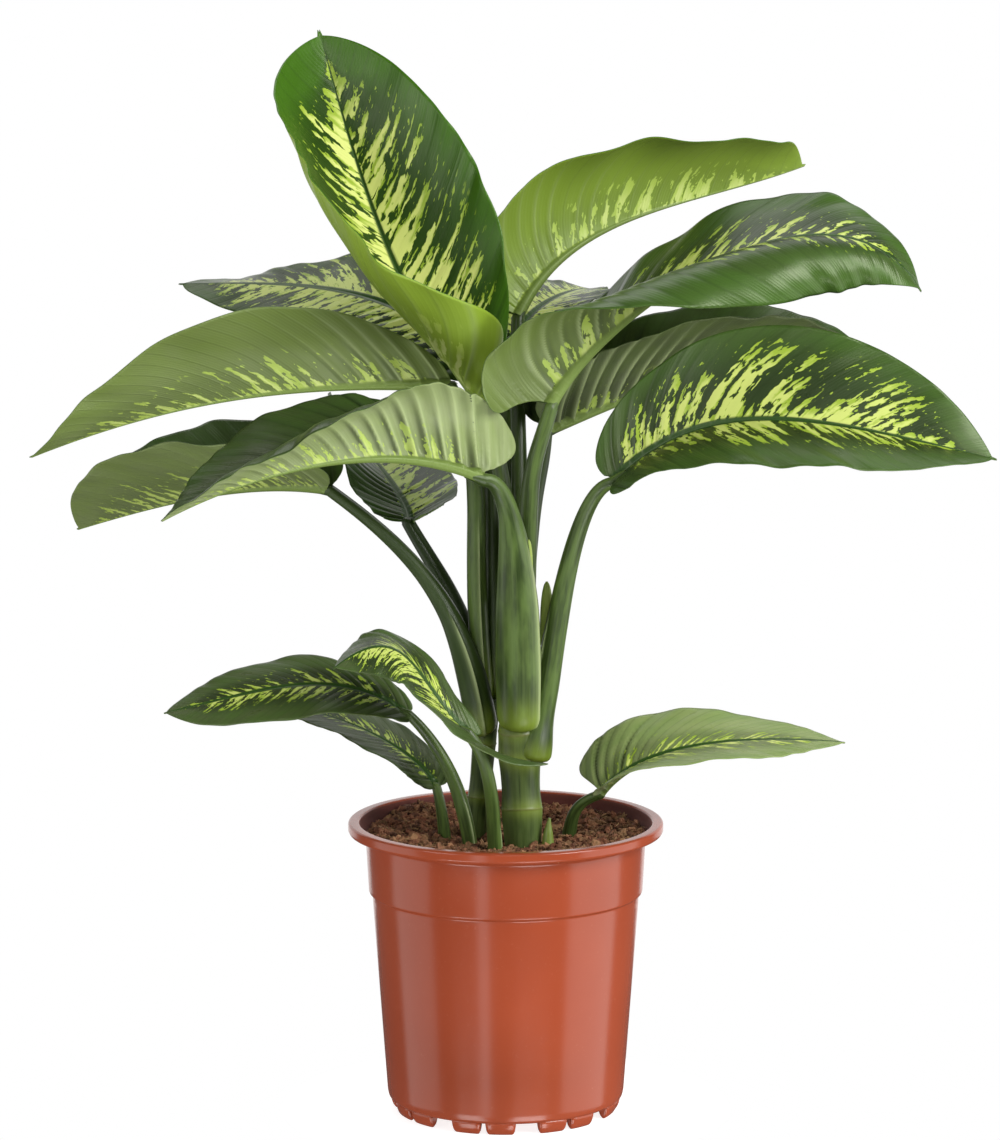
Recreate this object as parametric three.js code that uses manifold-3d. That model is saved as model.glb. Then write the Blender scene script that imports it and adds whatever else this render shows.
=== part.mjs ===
// A potted dieffenbachia: fifteen variegated leaves on two green canes, in a terracotta plastic nursery pot.
// Sizes are in millimetres and angles in degrees. Z is up, X runs to the right of the front and -Y is the front.
// The origin is on the axis of the pot, at the level of the feet that it stands on.

import * as THREE from "three";
import { mergeVertices } from "three/addons/utils/BufferGeometryUtils.js";
import Module from "manifold-3d";

const wasm = await Module();
wasm.setup();

const { PI, abs, cos, exp, max, min, sin } = Math;
const radians = THREE.MathUtils.degToRad;
const mix = THREE.MathUtils.lerp;

// ---- Driving dimensions -------------------------------------------------------------------------

const CLEARANCE = 0.3; // left between two pieces that touch

const POT = {
  height: 196,
  rim: 105, // radius over the lip
  mouth: 97.5, // radius of the opening
  lip: 7, // height of the lip's outer face
  collarTop: 93.4,
  collarFoot: 91.3,
  ridge: 151, // height of the step under the collar
  shoulder: 88.6, // radius just under the step
  base: 79.2, // radius at the foot of the wall
  wall: 1.7,
  foot: 8, // height of the feet
  sides: 36,
};

const FEET = {
  pairs: 8,
  turn: -11.5, // the first pair's place, from the front towards the right
  width: 15.5,
  notch: 2.3, // between the two feet of a pair
  inner: 69,
  outer: 77.4,
};

const SOIL = { level: 187, hollow: 5, rings: 6, sides: 30 };

const BLADE = {
  thickness: 1.2,
  rib: 2.6, // how far the midrib stands out under the leaf, at the stalk
  start: 0.006, // the blade begins this far along its rib
  tip: 0.99,
  drip: 0.03, // share of the length that the narrow point at the tip takes
  lobeReach: 0.05,
  large: { along: 15, across: [-1, -0.74, -0.4, -0.08, 0, 0.08, 0.4, 0.74, 1] },
  small: { along: 12, across: [-1, -0.6, -0.1, 0, 0.1, 0.6, 1] },
};

const TUBE_SIDES = 8;

// Each leaf: its rib runs from the stalk to the tip, and its stalk rises to the foot of the rib.
// half is half the blade's width, face the side that its upper surface looks to. fold lifts both halves,
// roll leans the blade over, and curl bends each half across, each given at the stalk and at the tip.
// full and taper shape the outline at its two ends, and lobes are how far each half reaches back past the stalk.
// The crown leaf is the youngest. It is still rolled up at its foot, so its curl falls off fast by unroll, and
// its rolled half is the wider one.
const LEAVES = {
  crown: {
    rib: [[-14, -5, 475], [-58, 14, 536], [-91, 42, 608], [-125, 75, 719]],
    stalk: [[5, -16, 341], [2, -12, 390], [-4, -9, 437]],
    girth: [6.2, 6, 5.5, 5, 4.6],
    half: 79, sides: [1.4, 1], face: [0.14, -1, 0.91], roll: [18, -9], fold: [24, 28],
    curl: { left: [590, 44], right: [46, 4] }, unroll: [8.9, 1],
    full: 0.63, taper: 0.76, lobes: [0.05, 0], wave: { height: 3, count: 4, phase: 0 },
  },
  top_right: {
    rib: [[8, 40, 528], [57, 73, 578], [128, 106, 602], [205, 132, 623]],
    stalk: [[8, -6, 341], [9, 9, 425], [8, 25, 477]],
    girth: [6, 5.6, 5, 4.8, 4.4],
    half: 69, face: [0, -0.1, 1], roll: [-55, -27], fold: [70, 44],
    curl: { left: [0, 0], right: [-40, -99] },
    full: 0.31, taper: 0.52, lobes: [0, 0.05], wave: { height: 3, count: 4, phase: 1 },
  },
  upper_right: {
    rib: [[29, -24, 477], [93, -20, 544], [190, -25, 588], [272, -15, 550]],
    stalk: [[13, -19, 341], [15, -22, 410], [19, -25, 443]],
    girth: [6.6, 6.4, 6, 5.8, 5.4],
    half: 70, face: [0, -0.1, 1], roll: [-55, 32], fold: [56, -2],
    curl: { left: [0, 0], right: [-38, -227] },
    full: 0.39, taper: 1, lobes: [0.04, 0.21], wave: { height: 3, count: 5, phase: 2 },
  },
  mid_right: {
    rib: [[26, 12, 456], [99, 36, 481], [177, 58, 496], [253, 76, 484]],
    stalk: [[13, -4, 341], [17, 0, 399], [22, 5, 429]],
    girth: [6, 6, 5.6, 5.4, 5],
    half: 62, face: [0, -0.1, 1], roll: [-15, 0], fold: [50, 34],
    curl: { left: [0, 0], right: [0, 0] },
    full: 0.5, taper: 0.85, lobes: [0.07, 0.07], wave: { height: 3, count: 4, phase: 3 },
  },
  front_right: {
    rib: [[69, -50, 431], [135, -70, 471], [215, -85, 472], [317, -85, 450]],
    stalk: [[20, -18, 241], [30, -20, 308], [45, -32, 388]],
    girth: [12.4, 10, 8.4, 8, 7.6, 7.2, 6.6, 6, 5.6, 5.2, 4.9, 4.6],
    spur: { from: [27, -19, 318], to: [27, -16, 360], girth: 4 },
    half: 62, face: [0, -0.2, 1], roll: [32, 32], fold: [28, 28],
    curl: { left: [10, 10], right: [-10, -10] },
    full: 0.65, taper: 0.95, lobes: [0.05, 0.05], wave: { height: 3, count: 4, phase: 4 },
  },
  upper_left: {
    rib: [[-36, 14, 486], [-131, -6, 486], [-220, -20, 473], [-313, -25, 443]],
    stalk: [[-14, -2, 278], [-19, 1, 372], [-21, 7, 432]],
    girth: [7, 6.8, 6.4, 6, 5.6, 5.2],
    half: 68, face: [0, -0.1, 1], roll: [40, 10], fold: [42, 25],
    curl: { left: [20, 20], right: [0, 0] },
    full: 0.8, taper: 1.2, lobes: [0.02, 0.07], wave: { height: 3, count: 5, phase: 5 },
  },
  front_left: {
    rib: [[-15, -50, 433], [-91, -90, 451], [-163, -125, 441], [-218, -150, 420]],
    stalk: [[9, -22, 262], [8, -30, 345], [2, -39, 408]],
    girth: [14.5, 15.5, 14.5, 11, 7, 5.6, 5],
    spur: { from: [14, -34, 352], to: [15, -36, 391], girth: 3 },
    half: 65, face: [0, -0.1, 1], roll: [44, 17], fold: [83, 22],
    curl: { left: [-69, -115], right: [0, 0] },
    full: 0.61, taper: 1.57, lobes: [0.13, 0], wave: { height: 3, count: 4, phase: 0.5 },
  },
  mid_left: {
    rib: [[-116, 10, 417], [-174, 45, 412], [-234, 80, 396], [-293, 105, 376]],
    stalk: [[-15, -4, 256], [-31, -8, 322], [-63, 0, 372]],
    girth: [11, 10, 7, 5.4, 4.8, 4.4],
    half: 62, face: [0, -0.1, 1], roll: [0, 0], fold: [50, 42],
    curl: { left: [0, 0], right: [0, 0] },
    full: 0.6, taper: 0.7, lobes: [0.07, 0.07], wave: { height: 3, count: 4, phase: 1.5 },
  },
  top_left: {
    rib: [[-16, 34, 499], [-75, 64, 533], [-138, 94, 544], [-224, 125, 542]],
    stalk: [[-6, 4, 278], [-8, 13, 370], [-10, 23, 434]],
    girth: [6.4, 6, 5.6, 5.2, 4.8],
    half: 45, face: [0, -0.2, 1], roll: [-31, -4], fold: [11, -15],
    curl: { left: [0, 0], right: [40, -7] },
    full: 0.42, taper: 0.77, lobes: [0.05, 0.05], wave: { height: 3, count: 5, phase: 2.5 },
  },
  back_left: {
    rib: [[-65, 28, 393], [-76, 75, 410], [-101, 120, 435], [-120, 165, 451]],
    stalk: [[-15, 7, 250], [-26, 14, 316], [-44, 21, 358]],
    girth: [10, 8.5, 6.5, 5.2, 4.6],
    half: 45, face: [0, -0.2, 1], roll: [-12, 61], fold: [18, 17],
    curl: { left: [0, 0], right: [0, 0] },
    full: 0.61, taper: 1.05, lobes: [0.03, 0.26], wave: { height: 2, count: 4, phase: 3.5 },
  },
  back_right: {
    rib: [[4, 46, 512], [23, 86, 530], [44, 129, 536], [60, 165, 534]],
    stalk: [[5, 1, 341], [4, 21, 411], [0, 36, 463]],
    girth: [6, 5.6, 5, 4.8, 4.4],
    half: 36, face: [0, -0.2, 1], roll: [0, 0], fold: [10, 10],
    curl: { left: [0, 0], right: [0, 0] },
    full: 0.5, taper: 1.1, lobes: [0.05, 0.05], wave: { height: 2, count: 4, phase: 4.5 },
  },
  low_left: {
    rib: [[-64, -25, 273], [-115, -35, 294], [-168, -42, 290], [-225, -45, 277]],
    stalk: [[-22, -22, 170], [-31, -22, 218], [-47, -22, 252]],
    girth: [5, 5, 4.4, 4, 3.6],
    half: 32, face: [0, -0.3, 1], roll: [-12, -12], fold: [3, 3],
    curl: { left: [0, -20], right: [0, -20] },
    full: 0.6, taper: 0.9, lobes: [0.05, 0.05], wave: { height: 2, count: 3, phase: 0 },
    small: true,
  },
  lowest_left: {
    rib: [[-46, 0, 219], [-71, 10, 242], [-111, 20, 260], [-155, 30, 267]],
    stalk: [[-40, 2, 170], [-41, 1, 188], [-43, 0, 205]],
    girth: [4.4, 4.2, 3.8, 3.4],
    half: 26, face: [0, -0.3, 1], roll: [5, 5], fold: [5, 5],
    curl: { left: [0, 0], right: [0, 0] },
    full: 0.6, taper: 0.9, lobes: [0.05, 0.05], wave: { height: 1.5, count: 3, phase: 1 },
    small: true,
  },
  low_front: {
    rib: [[-25, -57, 267], [-52, -71, 303], [-75, -85, 328], [-112, -100, 316]],
    stalk: [[-5, -36, 168], [-8, -42, 203], [-12, -51, 238]],
    girth: [5, 4.8, 4.4, 4],
    half: 32, face: [0.2, -0.35, 0.98], roll: [-13, 4], fold: [19, -30],
    curl: { left: [0, 0], right: [0, 0] },
    full: 0.87, taper: 0.95, lobes: [0.42, 0.12], wave: { height: 1.5, count: 3, phase: 2 },
    small: true,
  },
  low_right: {
    rib: [[63, -5, 215], [101, -12, 242], [158, -15, 253], [226, -12, 251]],
    stalk: [[40, 6, 170], [43, 4, 190], [48, 0, 205]],
    girth: [5, 4.6, 4, 3.6],
    half: 39, face: [0, -0.2, 1], roll: [7, 9], fold: [32, -5],
    curl: { left: [0, 0], right: [0, 0] },
    full: 0.32, taper: 1.03, lobes: [0.07, 0], wave: { height: 2, count: 3, phase: 3 },
    small: true,
  },
};

// The canes carry the leaves, and the shoot is a young one that only just clears the soil.
const CANES = {
  cane_main: {
    path: [[12, -18, 166], [10, -18, 222], [8, -17, 280], [8, -14, 340.6]],
    girth: [12, 12, 12.6, 13.6, 12.6, 13, 14, 13.4, 12, 11, 10.4, 10.2, 10, 10],
  },
  cane_back: {
    path: [[-21, 11, 166], [-18, 9, 203], [-15, 6, 240], [-12, 2, 277.6]],
    girth: [7, 7, 7.4, 8, 7.4, 7.6, 8, 8.2, 8],
  },
  shoot_young: {
    path: [[28, -26, 168], [28, -26, 180], [28, -26, 191], [29, -26, 203]],
    girth: [4.6, 4.6, 4.2, 3, 0.8],
  },
};

// ---- Curves and solids ----------------------------------------------------------------------------

// A smooth curve that passes its four points at 0, 1/3, 2/3 and 1.
function curveThrough(points) {
  const [a, b, c, d] = points.map((p) => new THREE.Vector3(...p));
  const weigh = (wa, wb, wc, wd) =>
    new THREE.Vector3()
      .addScaledVector(a, wa / 6)
      .addScaledVector(b, wb / 6)
      .addScaledVector(c, wc / 6)
      .addScaledVector(d, wd / 6);
  return new THREE.CubicBezierCurve3(a, weigh(-5, 18, -9, 2), weigh(2, -9, 18, -5), d);
}

// The value at u, from 0 to 1, of a list of values evenly spaced along it.
function along(values, u) {
  const place = min(max(u, 0), 1) * (values.length - 1);
  const before = min(Math.floor(place), values.length - 2);
  return mix(values[before], values[before + 1], place - before);
}

function geometryFrom(points, triangles) {
  const geometry = new THREE.BufferGeometry();
  geometry.setAttribute("position", new THREE.Float32BufferAttribute(points.flat(), 3));
  geometry.setIndex(triangles.flat());
  return geometry;
}

function solidFrom(geometry) {
  const bare = geometry.clone();
  bare.deleteAttribute("normal");
  bare.deleteAttribute("uv");
  const merged = mergeVertices(bare, 1e-4);
  const mesh = new wasm.Mesh({
    numProp: 3,
    vertProperties: merged.attributes.position.array,
    triVerts: new Uint32Array(merged.index.array),
  });
  return new wasm.Manifold(mesh);
}

// What is left of a solid once the others are cut from it, without any loose scraps.
function carve(solid, others) {
  const left = others.reduce((rest, other) => rest.subtract(other), solid);
  const bodies = left.decompose();
  return bodies.sort((a, b) => b.volume() - a.volume())[0];
}

// Rows of points, each row a closed ring, joined into one skin with a flat cap at either end.
function skinOfRings(rings) {
  const n = rings[0].length;
  const points = rings.flat();
  const triangles = [];
  for (let i = 0; i + 1 < rings.length; i++) {
    for (let j = 0; j < n; j++) {
      const a = i * n + j;
      const b = i * n + ((j + 1) % n);
      triangles.push([a, b, b + n], [a, b + n, a + n]);
    }
  }
  const last = (rings.length - 1) * n;
  for (let j = 1; j + 1 < n; j++) {
    triangles.push([0, j + 1, j], [last, last + j, last + j + 1]);
  }
  return geometryFrom(points, triangles);
}

// A round stem along a curve. Its radius follows the girths, and grow makes it fatter and longer all over.
function stem(points, girth, grow = 0, run = 0) {
  const curve = curveThrough(points);
  const steps = max(7, 2 * (girth.length - 1));
  const side = new THREE.Vector3(0, 1, 0);
  const rings = [];
  for (let i = 0; i <= steps; i++) {
    const u = i / steps;
    const past = i === 0 ? -grow : i === steps ? grow + run : 0;
    const tangent = curve.getTangent(u);
    const centre = curve.getPoint(u).addScaledVector(tangent, past);
    side.addScaledVector(tangent, -side.dot(tangent)).normalize();
    const other = new THREE.Vector3().crossVectors(tangent, side);
    const radius = along(girth, u) + grow;
    const ring = [];
    for (let j = 0; j < TUBE_SIDES; j++) {
      const turn = (2 * PI * j) / TUBE_SIDES;
      const point = centre
        .clone()
        .addScaledVector(side, radius * cos(turn))
        .addScaledVector(other, radius * sin(turn));
      ring.push(point.toArray());
    }
    rings.push(ring);
  }
  return solidFrom(skinOfRings(rings));
}

// ---- Leaves ---------------------------------------------------------------------------------------

// The outline's half width at s along the leaf, as a share of its greatest, with a narrow point at the tip.
function outline(leaf, s) {
  const { full, taper } = leaf;
  const widest = full / (full + taper);
  const most = widest ** full * (1 - widest) ** taper;
  const point = 0.9 * (1 - s) * s ** 8;
  const body = min(s / (1 - BLADE.drip), 1);
  return (body ** full * (1 - body) ** taper) / most + point;
}

// How far a half has bent by its margin, and the angle at which it leaves the rib, in radians.
function bend(leaf, isRight, x) {
  const lean = mix(...leaf.roll, x);
  const rise = mix(...leaf.fold, x) + (isRight ? -lean : lean);
  const [atStalk, atTip] = isRight ? leaf.curl.right : leaf.curl.left;
  const curl = mix(atTip, atStalk, (1 - x) ** (leaf.unroll ?? [1, 1])[isRight ? 1 : 0]);
  return { rise: radians(rise), curl: radians(abs(curl) < 0.01 ? 0.01 : curl) };
}

// The point of the blade at s along it and t across it, from -1 at the left margin to 1 at the right.
// Each half is an arc across the rib, its veins sweep towards the tip, and its margin waves.
function bladePoint(leaf, s, t) {
  const isRight = t > 0;
  const sign = isRight ? 1 : -1;
  const a = abs(t);
  const width = leaf.half * (leaf.sides ?? [1, 1])[isRight ? 1 : 0] * outline(leaf, s);
  const lobe = leaf.lobes[isRight ? 1 : 0] * (s / BLADE.lobeReach) * exp(1 - s / BLADE.lobeReach);
  const x = s + 0.5 * s * (1 - s) * (0.6 * a + 0.4 * a * a) - lobe * a * a;
  const inside = min(max(x, 0), 1);
  const tangent = leaf.curve.getTangent(inside);
  const up = new THREE.Vector3(...leaf.face);
  up.addScaledVector(tangent, -up.dot(tangent)).normalize();
  const across = new THREE.Vector3().crossVectors(tangent, up);
  const { rise, curl } = bend(leaf, isRight, inside);
  const bent = curl / leaf.half;
  const angle = rise + bent * a * width;
  const { height, count, phase } = leaf.wave;
  const ripple = sin(2 * PI * count * x + phase + (isRight ? 0 : 1.3));
  const wave = 0.5 * height * a ** 2.5 * ripple * min(1, (4 * width) / leaf.half);
  const out = (sin(angle) - sin(rise)) / bent - sin(angle) * wave;
  const lift = (cos(rise) - cos(angle)) / bent + cos(angle) * wave;
  return leaf.curve.getPoint(x).addScaledVector(across, sign * out).addScaledVector(up, lift);
}

// The direction that the blade's upper surface faces at s, t, measured on the half that t lies on.
function bladeNormal(leaf, s, t) {
  const step = 0.02;
  const beside = 0.001;
  const left = max(t > 0 ? max(t - step, beside) : t - step, -1);
  const right = min(t < 0 ? min(t + step, -beside) : t + step, 1);
  const crosswise = bladePoint(leaf, s, right).sub(bladePoint(leaf, s, left));
  const lengthwise = bladePoint(leaf, min(s + step, 0.999), t).sub(bladePoint(leaf, max(s - step, 0.001), t));
  return new THREE.Vector3().crossVectors(crosswise, lengthwise).normalize();
}

// The way out of the blade at one of its edges, or nothing inside it.
function outward(leaf, s, t, end) {
  const way = new THREE.Vector3();
  if (abs(t) === 1) way.add(bladePoint(leaf, s, t).sub(bladePoint(leaf, s, 0.9 * t)).normalize());
  if (end !== 0) way.addScaledVector(leaf.curve.getTangent(min(max(s, 0), 1)), end);
  return way;
}

// A blade as a thin sheet: the same triangles on both faces, a band round the edge, and the midrib below.
// grow makes it larger all round.
function blade(leaf, grow = 0) {
  const { along: rows, across } = leaf.small ? BLADE.small : BLADE.large;
  const n = across.length;
  const half = BLADE.thickness / 2 + grow;
  const top = [];
  const bottom = [];
  for (let i = 0; i <= rows; i++) {
    const even = i / rows;
    const eased = 0.5 - 0.5 * cos(PI * even);
    const s = mix(BLADE.start, BLADE.tip, 0.5 * even + 0.5 * eased);
    const end = i === 0 ? -1 : i === rows ? 1 : 0;
    for (const t of across) {
      const point = bladePoint(leaf, s, t).addScaledVector(outward(leaf, s, t, end), grow);
      const normal = bladeNormal(leaf, s, t);
      const ridge = t === 0 ? BLADE.rib * (1 - s) ** 0.8 * (leaf.small ? 0.6 : 1) : 0;
      top.push(point.clone().addScaledVector(normal, half).toArray());
      bottom.push(point.clone().addScaledVector(normal, -half - ridge).toArray());
    }
  }
  const triangles = [];
  const under = top.length;
  for (let i = 0; i < rows; i++) {
    for (let j = 0; j + 1 < n; j++) {
      const a = i * n + j;
      const [b, c, d] = [a + 1, a + n + 1, a + n];
      const pair = across[j] < 0 ? [[a, b, d], [b, c, d]] : [[a, b, c], [a, c, d]];
      for (const [p, q, r] of pair) triangles.push([p, q, r], [under + p, under + r, under + q]);
    }
  }
  const edge = [];
  for (let j = 0; j < n; j++) edge.push(j);
  for (let i = 1; i <= rows; i++) edge.push(i * n + n - 1);
  for (let j = n - 2; j >= 0; j--) edge.push(rows * n + j);
  for (let i = rows - 1; i > 0; i--) edge.push(i * n);
  edge.forEach((p, k) => {
    const q = edge[(k + 1) % edge.length];
    triangles.push([p, under + q, q], [p, under + p, under + q]);
  });
  return solidFrom(geometryFrom([...top, ...bottom], triangles));
}

// A leaf's stalk, with its sheath at the foot and the sheath's free tip where it has one.
function stalk(leaf, grow = 0, run = 0) {
  const body = stem([...leaf.stalk, leaf.rib[0]], leaf.girth, grow, run);
  if (!leaf.spur) return body;
  const { from, to, girth } = leaf.spur;
  const step = (k) => from.map((v, i) => mix(v, to[i], k));
  const point = stem([from, step(1 / 3), step(2 / 3), to], [girth, girth, girth * 0.7, 0.6], grow);
  return body.add(point);
}

// ---- Pot and soil -----------------------------------------------------------------------------------

function lathe(profile, sides) {
  const points = profile.map(([r, z]) => new THREE.Vector2(r, z));
  return new THREE.LatheGeometry(points, sides).rotateX(PI / 2);
}

// The inside of the pot's wall, from the floor up to the mouth.
function innerWall(gap = 0) {
  const { wall } = POT;
  return [
    [POT.base - wall - gap, POT.foot + wall + gap],
    [POT.shoulder - wall - gap, POT.ridge - 6],
    [POT.collarFoot - wall - gap, POT.ridge + 2],
    [POT.collarTop - wall - gap, POT.height - 12],
    [POT.mouth - wall - gap, POT.height - 5],
  ];
}

// One foot of the pot, a curved block that narrows towards the ground.
function foot(centre) {
  const levels = [
    { z: POT.foot + 1, inner: FEET.inner, outer: FEET.outer, width: FEET.width },
    { z: 2.5, inner: FEET.inner + 1, outer: FEET.outer - 2, width: FEET.width },
    { z: 0, inner: FEET.inner + 2.5, outer: FEET.outer - 3.6, width: FEET.width - 2.5 },
  ];
  const slices = 3;
  const rings = levels.map(({ z, inner, outer, width }) => {
    const ring = [];
    const at = (k, r) => {
      const turn = radians(centre + width * (k / slices - 0.5));
      ring.push([r * sin(turn), -r * cos(turn), z]);
    };
    for (let k = 0; k <= slices; k++) at(k, inner);
    for (let k = slices; k >= 0; k--) at(k, outer);
    return ring;
  });
  return solidFrom(skinOfRings(rings));
}

function pot() {
  const profile = [
    [0, POT.foot],
    [POT.base - 2.8, POT.foot],
    [POT.base - 0.6, POT.foot + 1.6],
    [POT.base, POT.foot + 5],
    [POT.shoulder, POT.ridge - 10],
    [POT.shoulder + 0.3, POT.ridge - 4],
    [POT.collarFoot, POT.ridge - 2.5],
    [POT.collarFoot + 0.2, POT.ridge + 1],
    [POT.collarTop, POT.height - 10],
    [POT.rim - 6, POT.height - POT.lip - 0.5],
    [POT.rim - 1, POT.height - POT.lip],
    [POT.rim, POT.height - POT.lip + 1.5],
    [POT.rim, POT.height - 1.2],
    [POT.rim - 1.2, POT.height],
    [POT.mouth + 0.8, POT.height],
    [POT.mouth, POT.height - 0.8],
    ...innerWall().reverse(),
    [0, POT.foot + POT.wall],
  ];
  let body = solidFrom(lathe(profile, POT.sides));
  for (let k = 0; k < FEET.pairs; k++) {
    const middle = FEET.turn + (360 / FEET.pairs) * k;
    const apart = (FEET.width + FEET.notch) / 2;
    body = body.add(foot(middle - apart)).add(foot(middle + apart));
  }
  return body;
}

// The lumpy top of the soil: it dips towards the stems and is heaped at the back left.
function soilHeight(x, y) {
  const r = Math.hypot(x, y) / POT.mouth;
  const heap = 6 * exp(-((x + 58) ** 2 + (y - 58) ** 2) / 500);
  const lumps = 1.3 * sin(x / 7 + 1.2) * cos(y / 8) + 0.9 * sin(x / 4.2 - y / 5.3 + 0.6);
  return SOIL.level - SOIL.hollow * (1 - r * r) + 2 * r * r + heap + lumps * min(1, 3 * (1 - r) + 0.35);
}

function soil() {
  const wall = innerWall(CLEARANCE);
  const top = POT.mouth - POT.wall - CLEARANCE - 2.6;
  const ring = (r, z) => {
    const points = [];
    for (let j = 0; j < SOIL.sides; j++) {
      const turn = (2 * PI * j) / SOIL.sides;
      const x = r * cos(turn);
      const y = r * sin(turn);
      points.push([x, y, z ?? soilHeight(x, y)]);
    }
    return points;
  };
  const rings = wall.slice(0, 4).map(([r, z]) => ring(r * cos(PI / SOIL.sides) ** 2, z));
  for (let i = 0; i < SOIL.rings; i++) rings.push(ring(mix(top, 4, i / (SOIL.rings - 1))));
  return solidFrom(skinOfRings(rings));
}

// ---- The plant in its pot -----------------------------------------------------------------------------

const FINISH = {
  pot: { color: 0xc05a3c, roughness: 0.35 },
  soil: { color: 0x4a2f22, roughness: 0.95 },
  cane: { color: 0x5f8440, roughness: 0.45 },
  stalk: { color: 0x55803a, roughness: 0.4 },
  blade: { color: 0x3f6b2c, roughness: 0.35 },
};

const plant = new THREE.Group();
plant.name = "potted_dieffenbachia";

function place(name, solid, finish) {
  const { vertProperties, triVerts } = solid.getMesh();
  const geometry = new THREE.BufferGeometry();
  geometry.setAttribute("position", new THREE.BufferAttribute(vertProperties, 3));
  geometry.setIndex(new THREE.BufferAttribute(triVerts, 1));
  geometry.computeVertexNormals();
  const mesh = new THREE.Mesh(geometry, new THREE.MeshStandardMaterial(finish));
  mesh.name = name;
  plant.add(mesh);
}

const taken = []; // what later pieces keep clear of

for (const [name, cane] of Object.entries(CANES)) {
  place(name, stem(cane.path, cane.girth), FINISH.cane);
  taken.push(stem(cane.path, cane.girth, CLEARANCE));
}

for (const [name, leaf] of Object.entries(LEAVES)) {
  leaf.curve = curveThrough(leaf.rib);
  place(`blade_${name}`, blade(leaf), FINISH.blade);
  taken.push(blade(leaf, CLEARANCE));
}

for (const [name, leaf] of Object.entries(LEAVES)) {
  place(`stalk_${name}`, carve(stalk(leaf, 0, 3), taken), FINISH.stalk);
  taken.push(stalk(leaf, CLEARANCE));
}

place("pot", pot(), FINISH.pot);
place("soil", carve(soil(), taken), FINISH.soil);

export default plant;
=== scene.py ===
# %% [markdown]
# # A potted dieffenbachia
# Fifteen variegated leaves stand on two green canes in a terracotta plastic nursery pot, filled with peat.
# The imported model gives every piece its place. Here each piece is made again, finer, as a surface worked out
# with numpy, and painted with materials made of nodes. The plant is in millimetres until it becomes a mesh.

import bpy
import numpy as np
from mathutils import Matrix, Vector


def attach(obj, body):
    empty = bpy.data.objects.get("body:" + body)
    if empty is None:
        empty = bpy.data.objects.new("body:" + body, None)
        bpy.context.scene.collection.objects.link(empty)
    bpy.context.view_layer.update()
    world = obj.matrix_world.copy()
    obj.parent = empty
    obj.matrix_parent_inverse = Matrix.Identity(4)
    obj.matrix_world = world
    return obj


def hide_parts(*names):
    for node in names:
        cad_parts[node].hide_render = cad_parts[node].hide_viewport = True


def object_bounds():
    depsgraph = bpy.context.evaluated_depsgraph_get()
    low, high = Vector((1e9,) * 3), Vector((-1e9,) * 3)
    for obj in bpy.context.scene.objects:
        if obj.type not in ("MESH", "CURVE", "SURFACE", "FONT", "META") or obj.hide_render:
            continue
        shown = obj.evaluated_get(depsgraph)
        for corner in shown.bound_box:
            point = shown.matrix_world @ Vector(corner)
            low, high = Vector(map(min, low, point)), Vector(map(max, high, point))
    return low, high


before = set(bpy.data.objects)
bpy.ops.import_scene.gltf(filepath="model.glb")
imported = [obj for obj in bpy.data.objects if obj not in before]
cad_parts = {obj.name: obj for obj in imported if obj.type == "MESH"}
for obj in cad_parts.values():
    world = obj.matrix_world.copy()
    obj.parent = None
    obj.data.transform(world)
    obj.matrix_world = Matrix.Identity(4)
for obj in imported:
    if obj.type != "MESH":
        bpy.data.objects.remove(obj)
cad_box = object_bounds()
print("packed nodes:", len(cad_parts))

# %% [markdown]
# ## The camera and the light
# The photograph was taken from a little above the leaves with a long lens, in a white studio. The camera
# stands 3.3 m in front. One bright sky all round would light the plant too, but flatly, and the pot, which
# mirrors what is in front of it and below, would turn hazy. So only the camera sees the white sky, and soft
# lamps give the light. The key lamp at the upper right makes the gloss of the leaves, low lamps reach their
# undersides, and lamps at the right, the left and in a strip show as upright bands in the pot's wall.

# %% Camera
camera = bpy.data.objects.new("camera", bpy.data.cameras.new("camera"))
camera.data.lens = 159.1
camera.data.sensor_width = 36
camera.data.clip_end = 100
camera.location = (-0.0038, -3.290, 0.895)
camera.rotation_euler = (np.radians(80.85), 0, 0)
bpy.context.collection.objects.link(camera)
bpy.context.scene.camera = camera
bpy.context.scene.view_settings.view_transform = "Standard"
print("camera at", tuple(camera.location))


# %% Lamps and sky
LAMPS = {
    # place and target in metres, width, height and brightness
    "key_lamp": ((2.0, -1.5, 1.5), (0, 0, 0.4), 1.4, 1.6, 12.0),
    "front_lamp": ((0.2, -2.0, 1.7), (0, 0, 0.5), 0.8, 0.6, 4.0),
    "left_front_lamp": ((-1.9, -1.7, 0.9), (0, 0, 0.5), 1.2, 1.2, 4.0),
    "right_lamp": ((2.4, -0.3, 0.0), (0, 0, 0.2), 2.4, 2.4, 1.8),
    "left_lamp": ((-2.4, -0.1, 0.2), (0, 0, 0.3), 1.8, 2.6, 1.3),
    "strip_lamp": ((-0.8, -2.3, -0.1), (0, 0, 0.1), 0.4, 2.6, 2.2),
    "low_lamp": ((0.8, -1.7, -1.5), (0, 0, 0.5), 1.2, 1.0, 7.0),
    "low_left_lamp": ((-1.2, -1.6, -1.5), (-0.1, 0, 0.5), 1.0, 1.0, 6.0),
    "top_lamp": ((0, 1.2, 2.3), (0, 0, 0.5), 2.6, 1.3, 1.8),
    "back_lamp": ((0, 2.6, 0.6), (0, 0, 0.4), 5.0, 2.4, 1.0),
}
# how bright the sky is for the plant, and how bright the camera sees it
WALLS, SEEN = 0.1, 1.0


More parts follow.
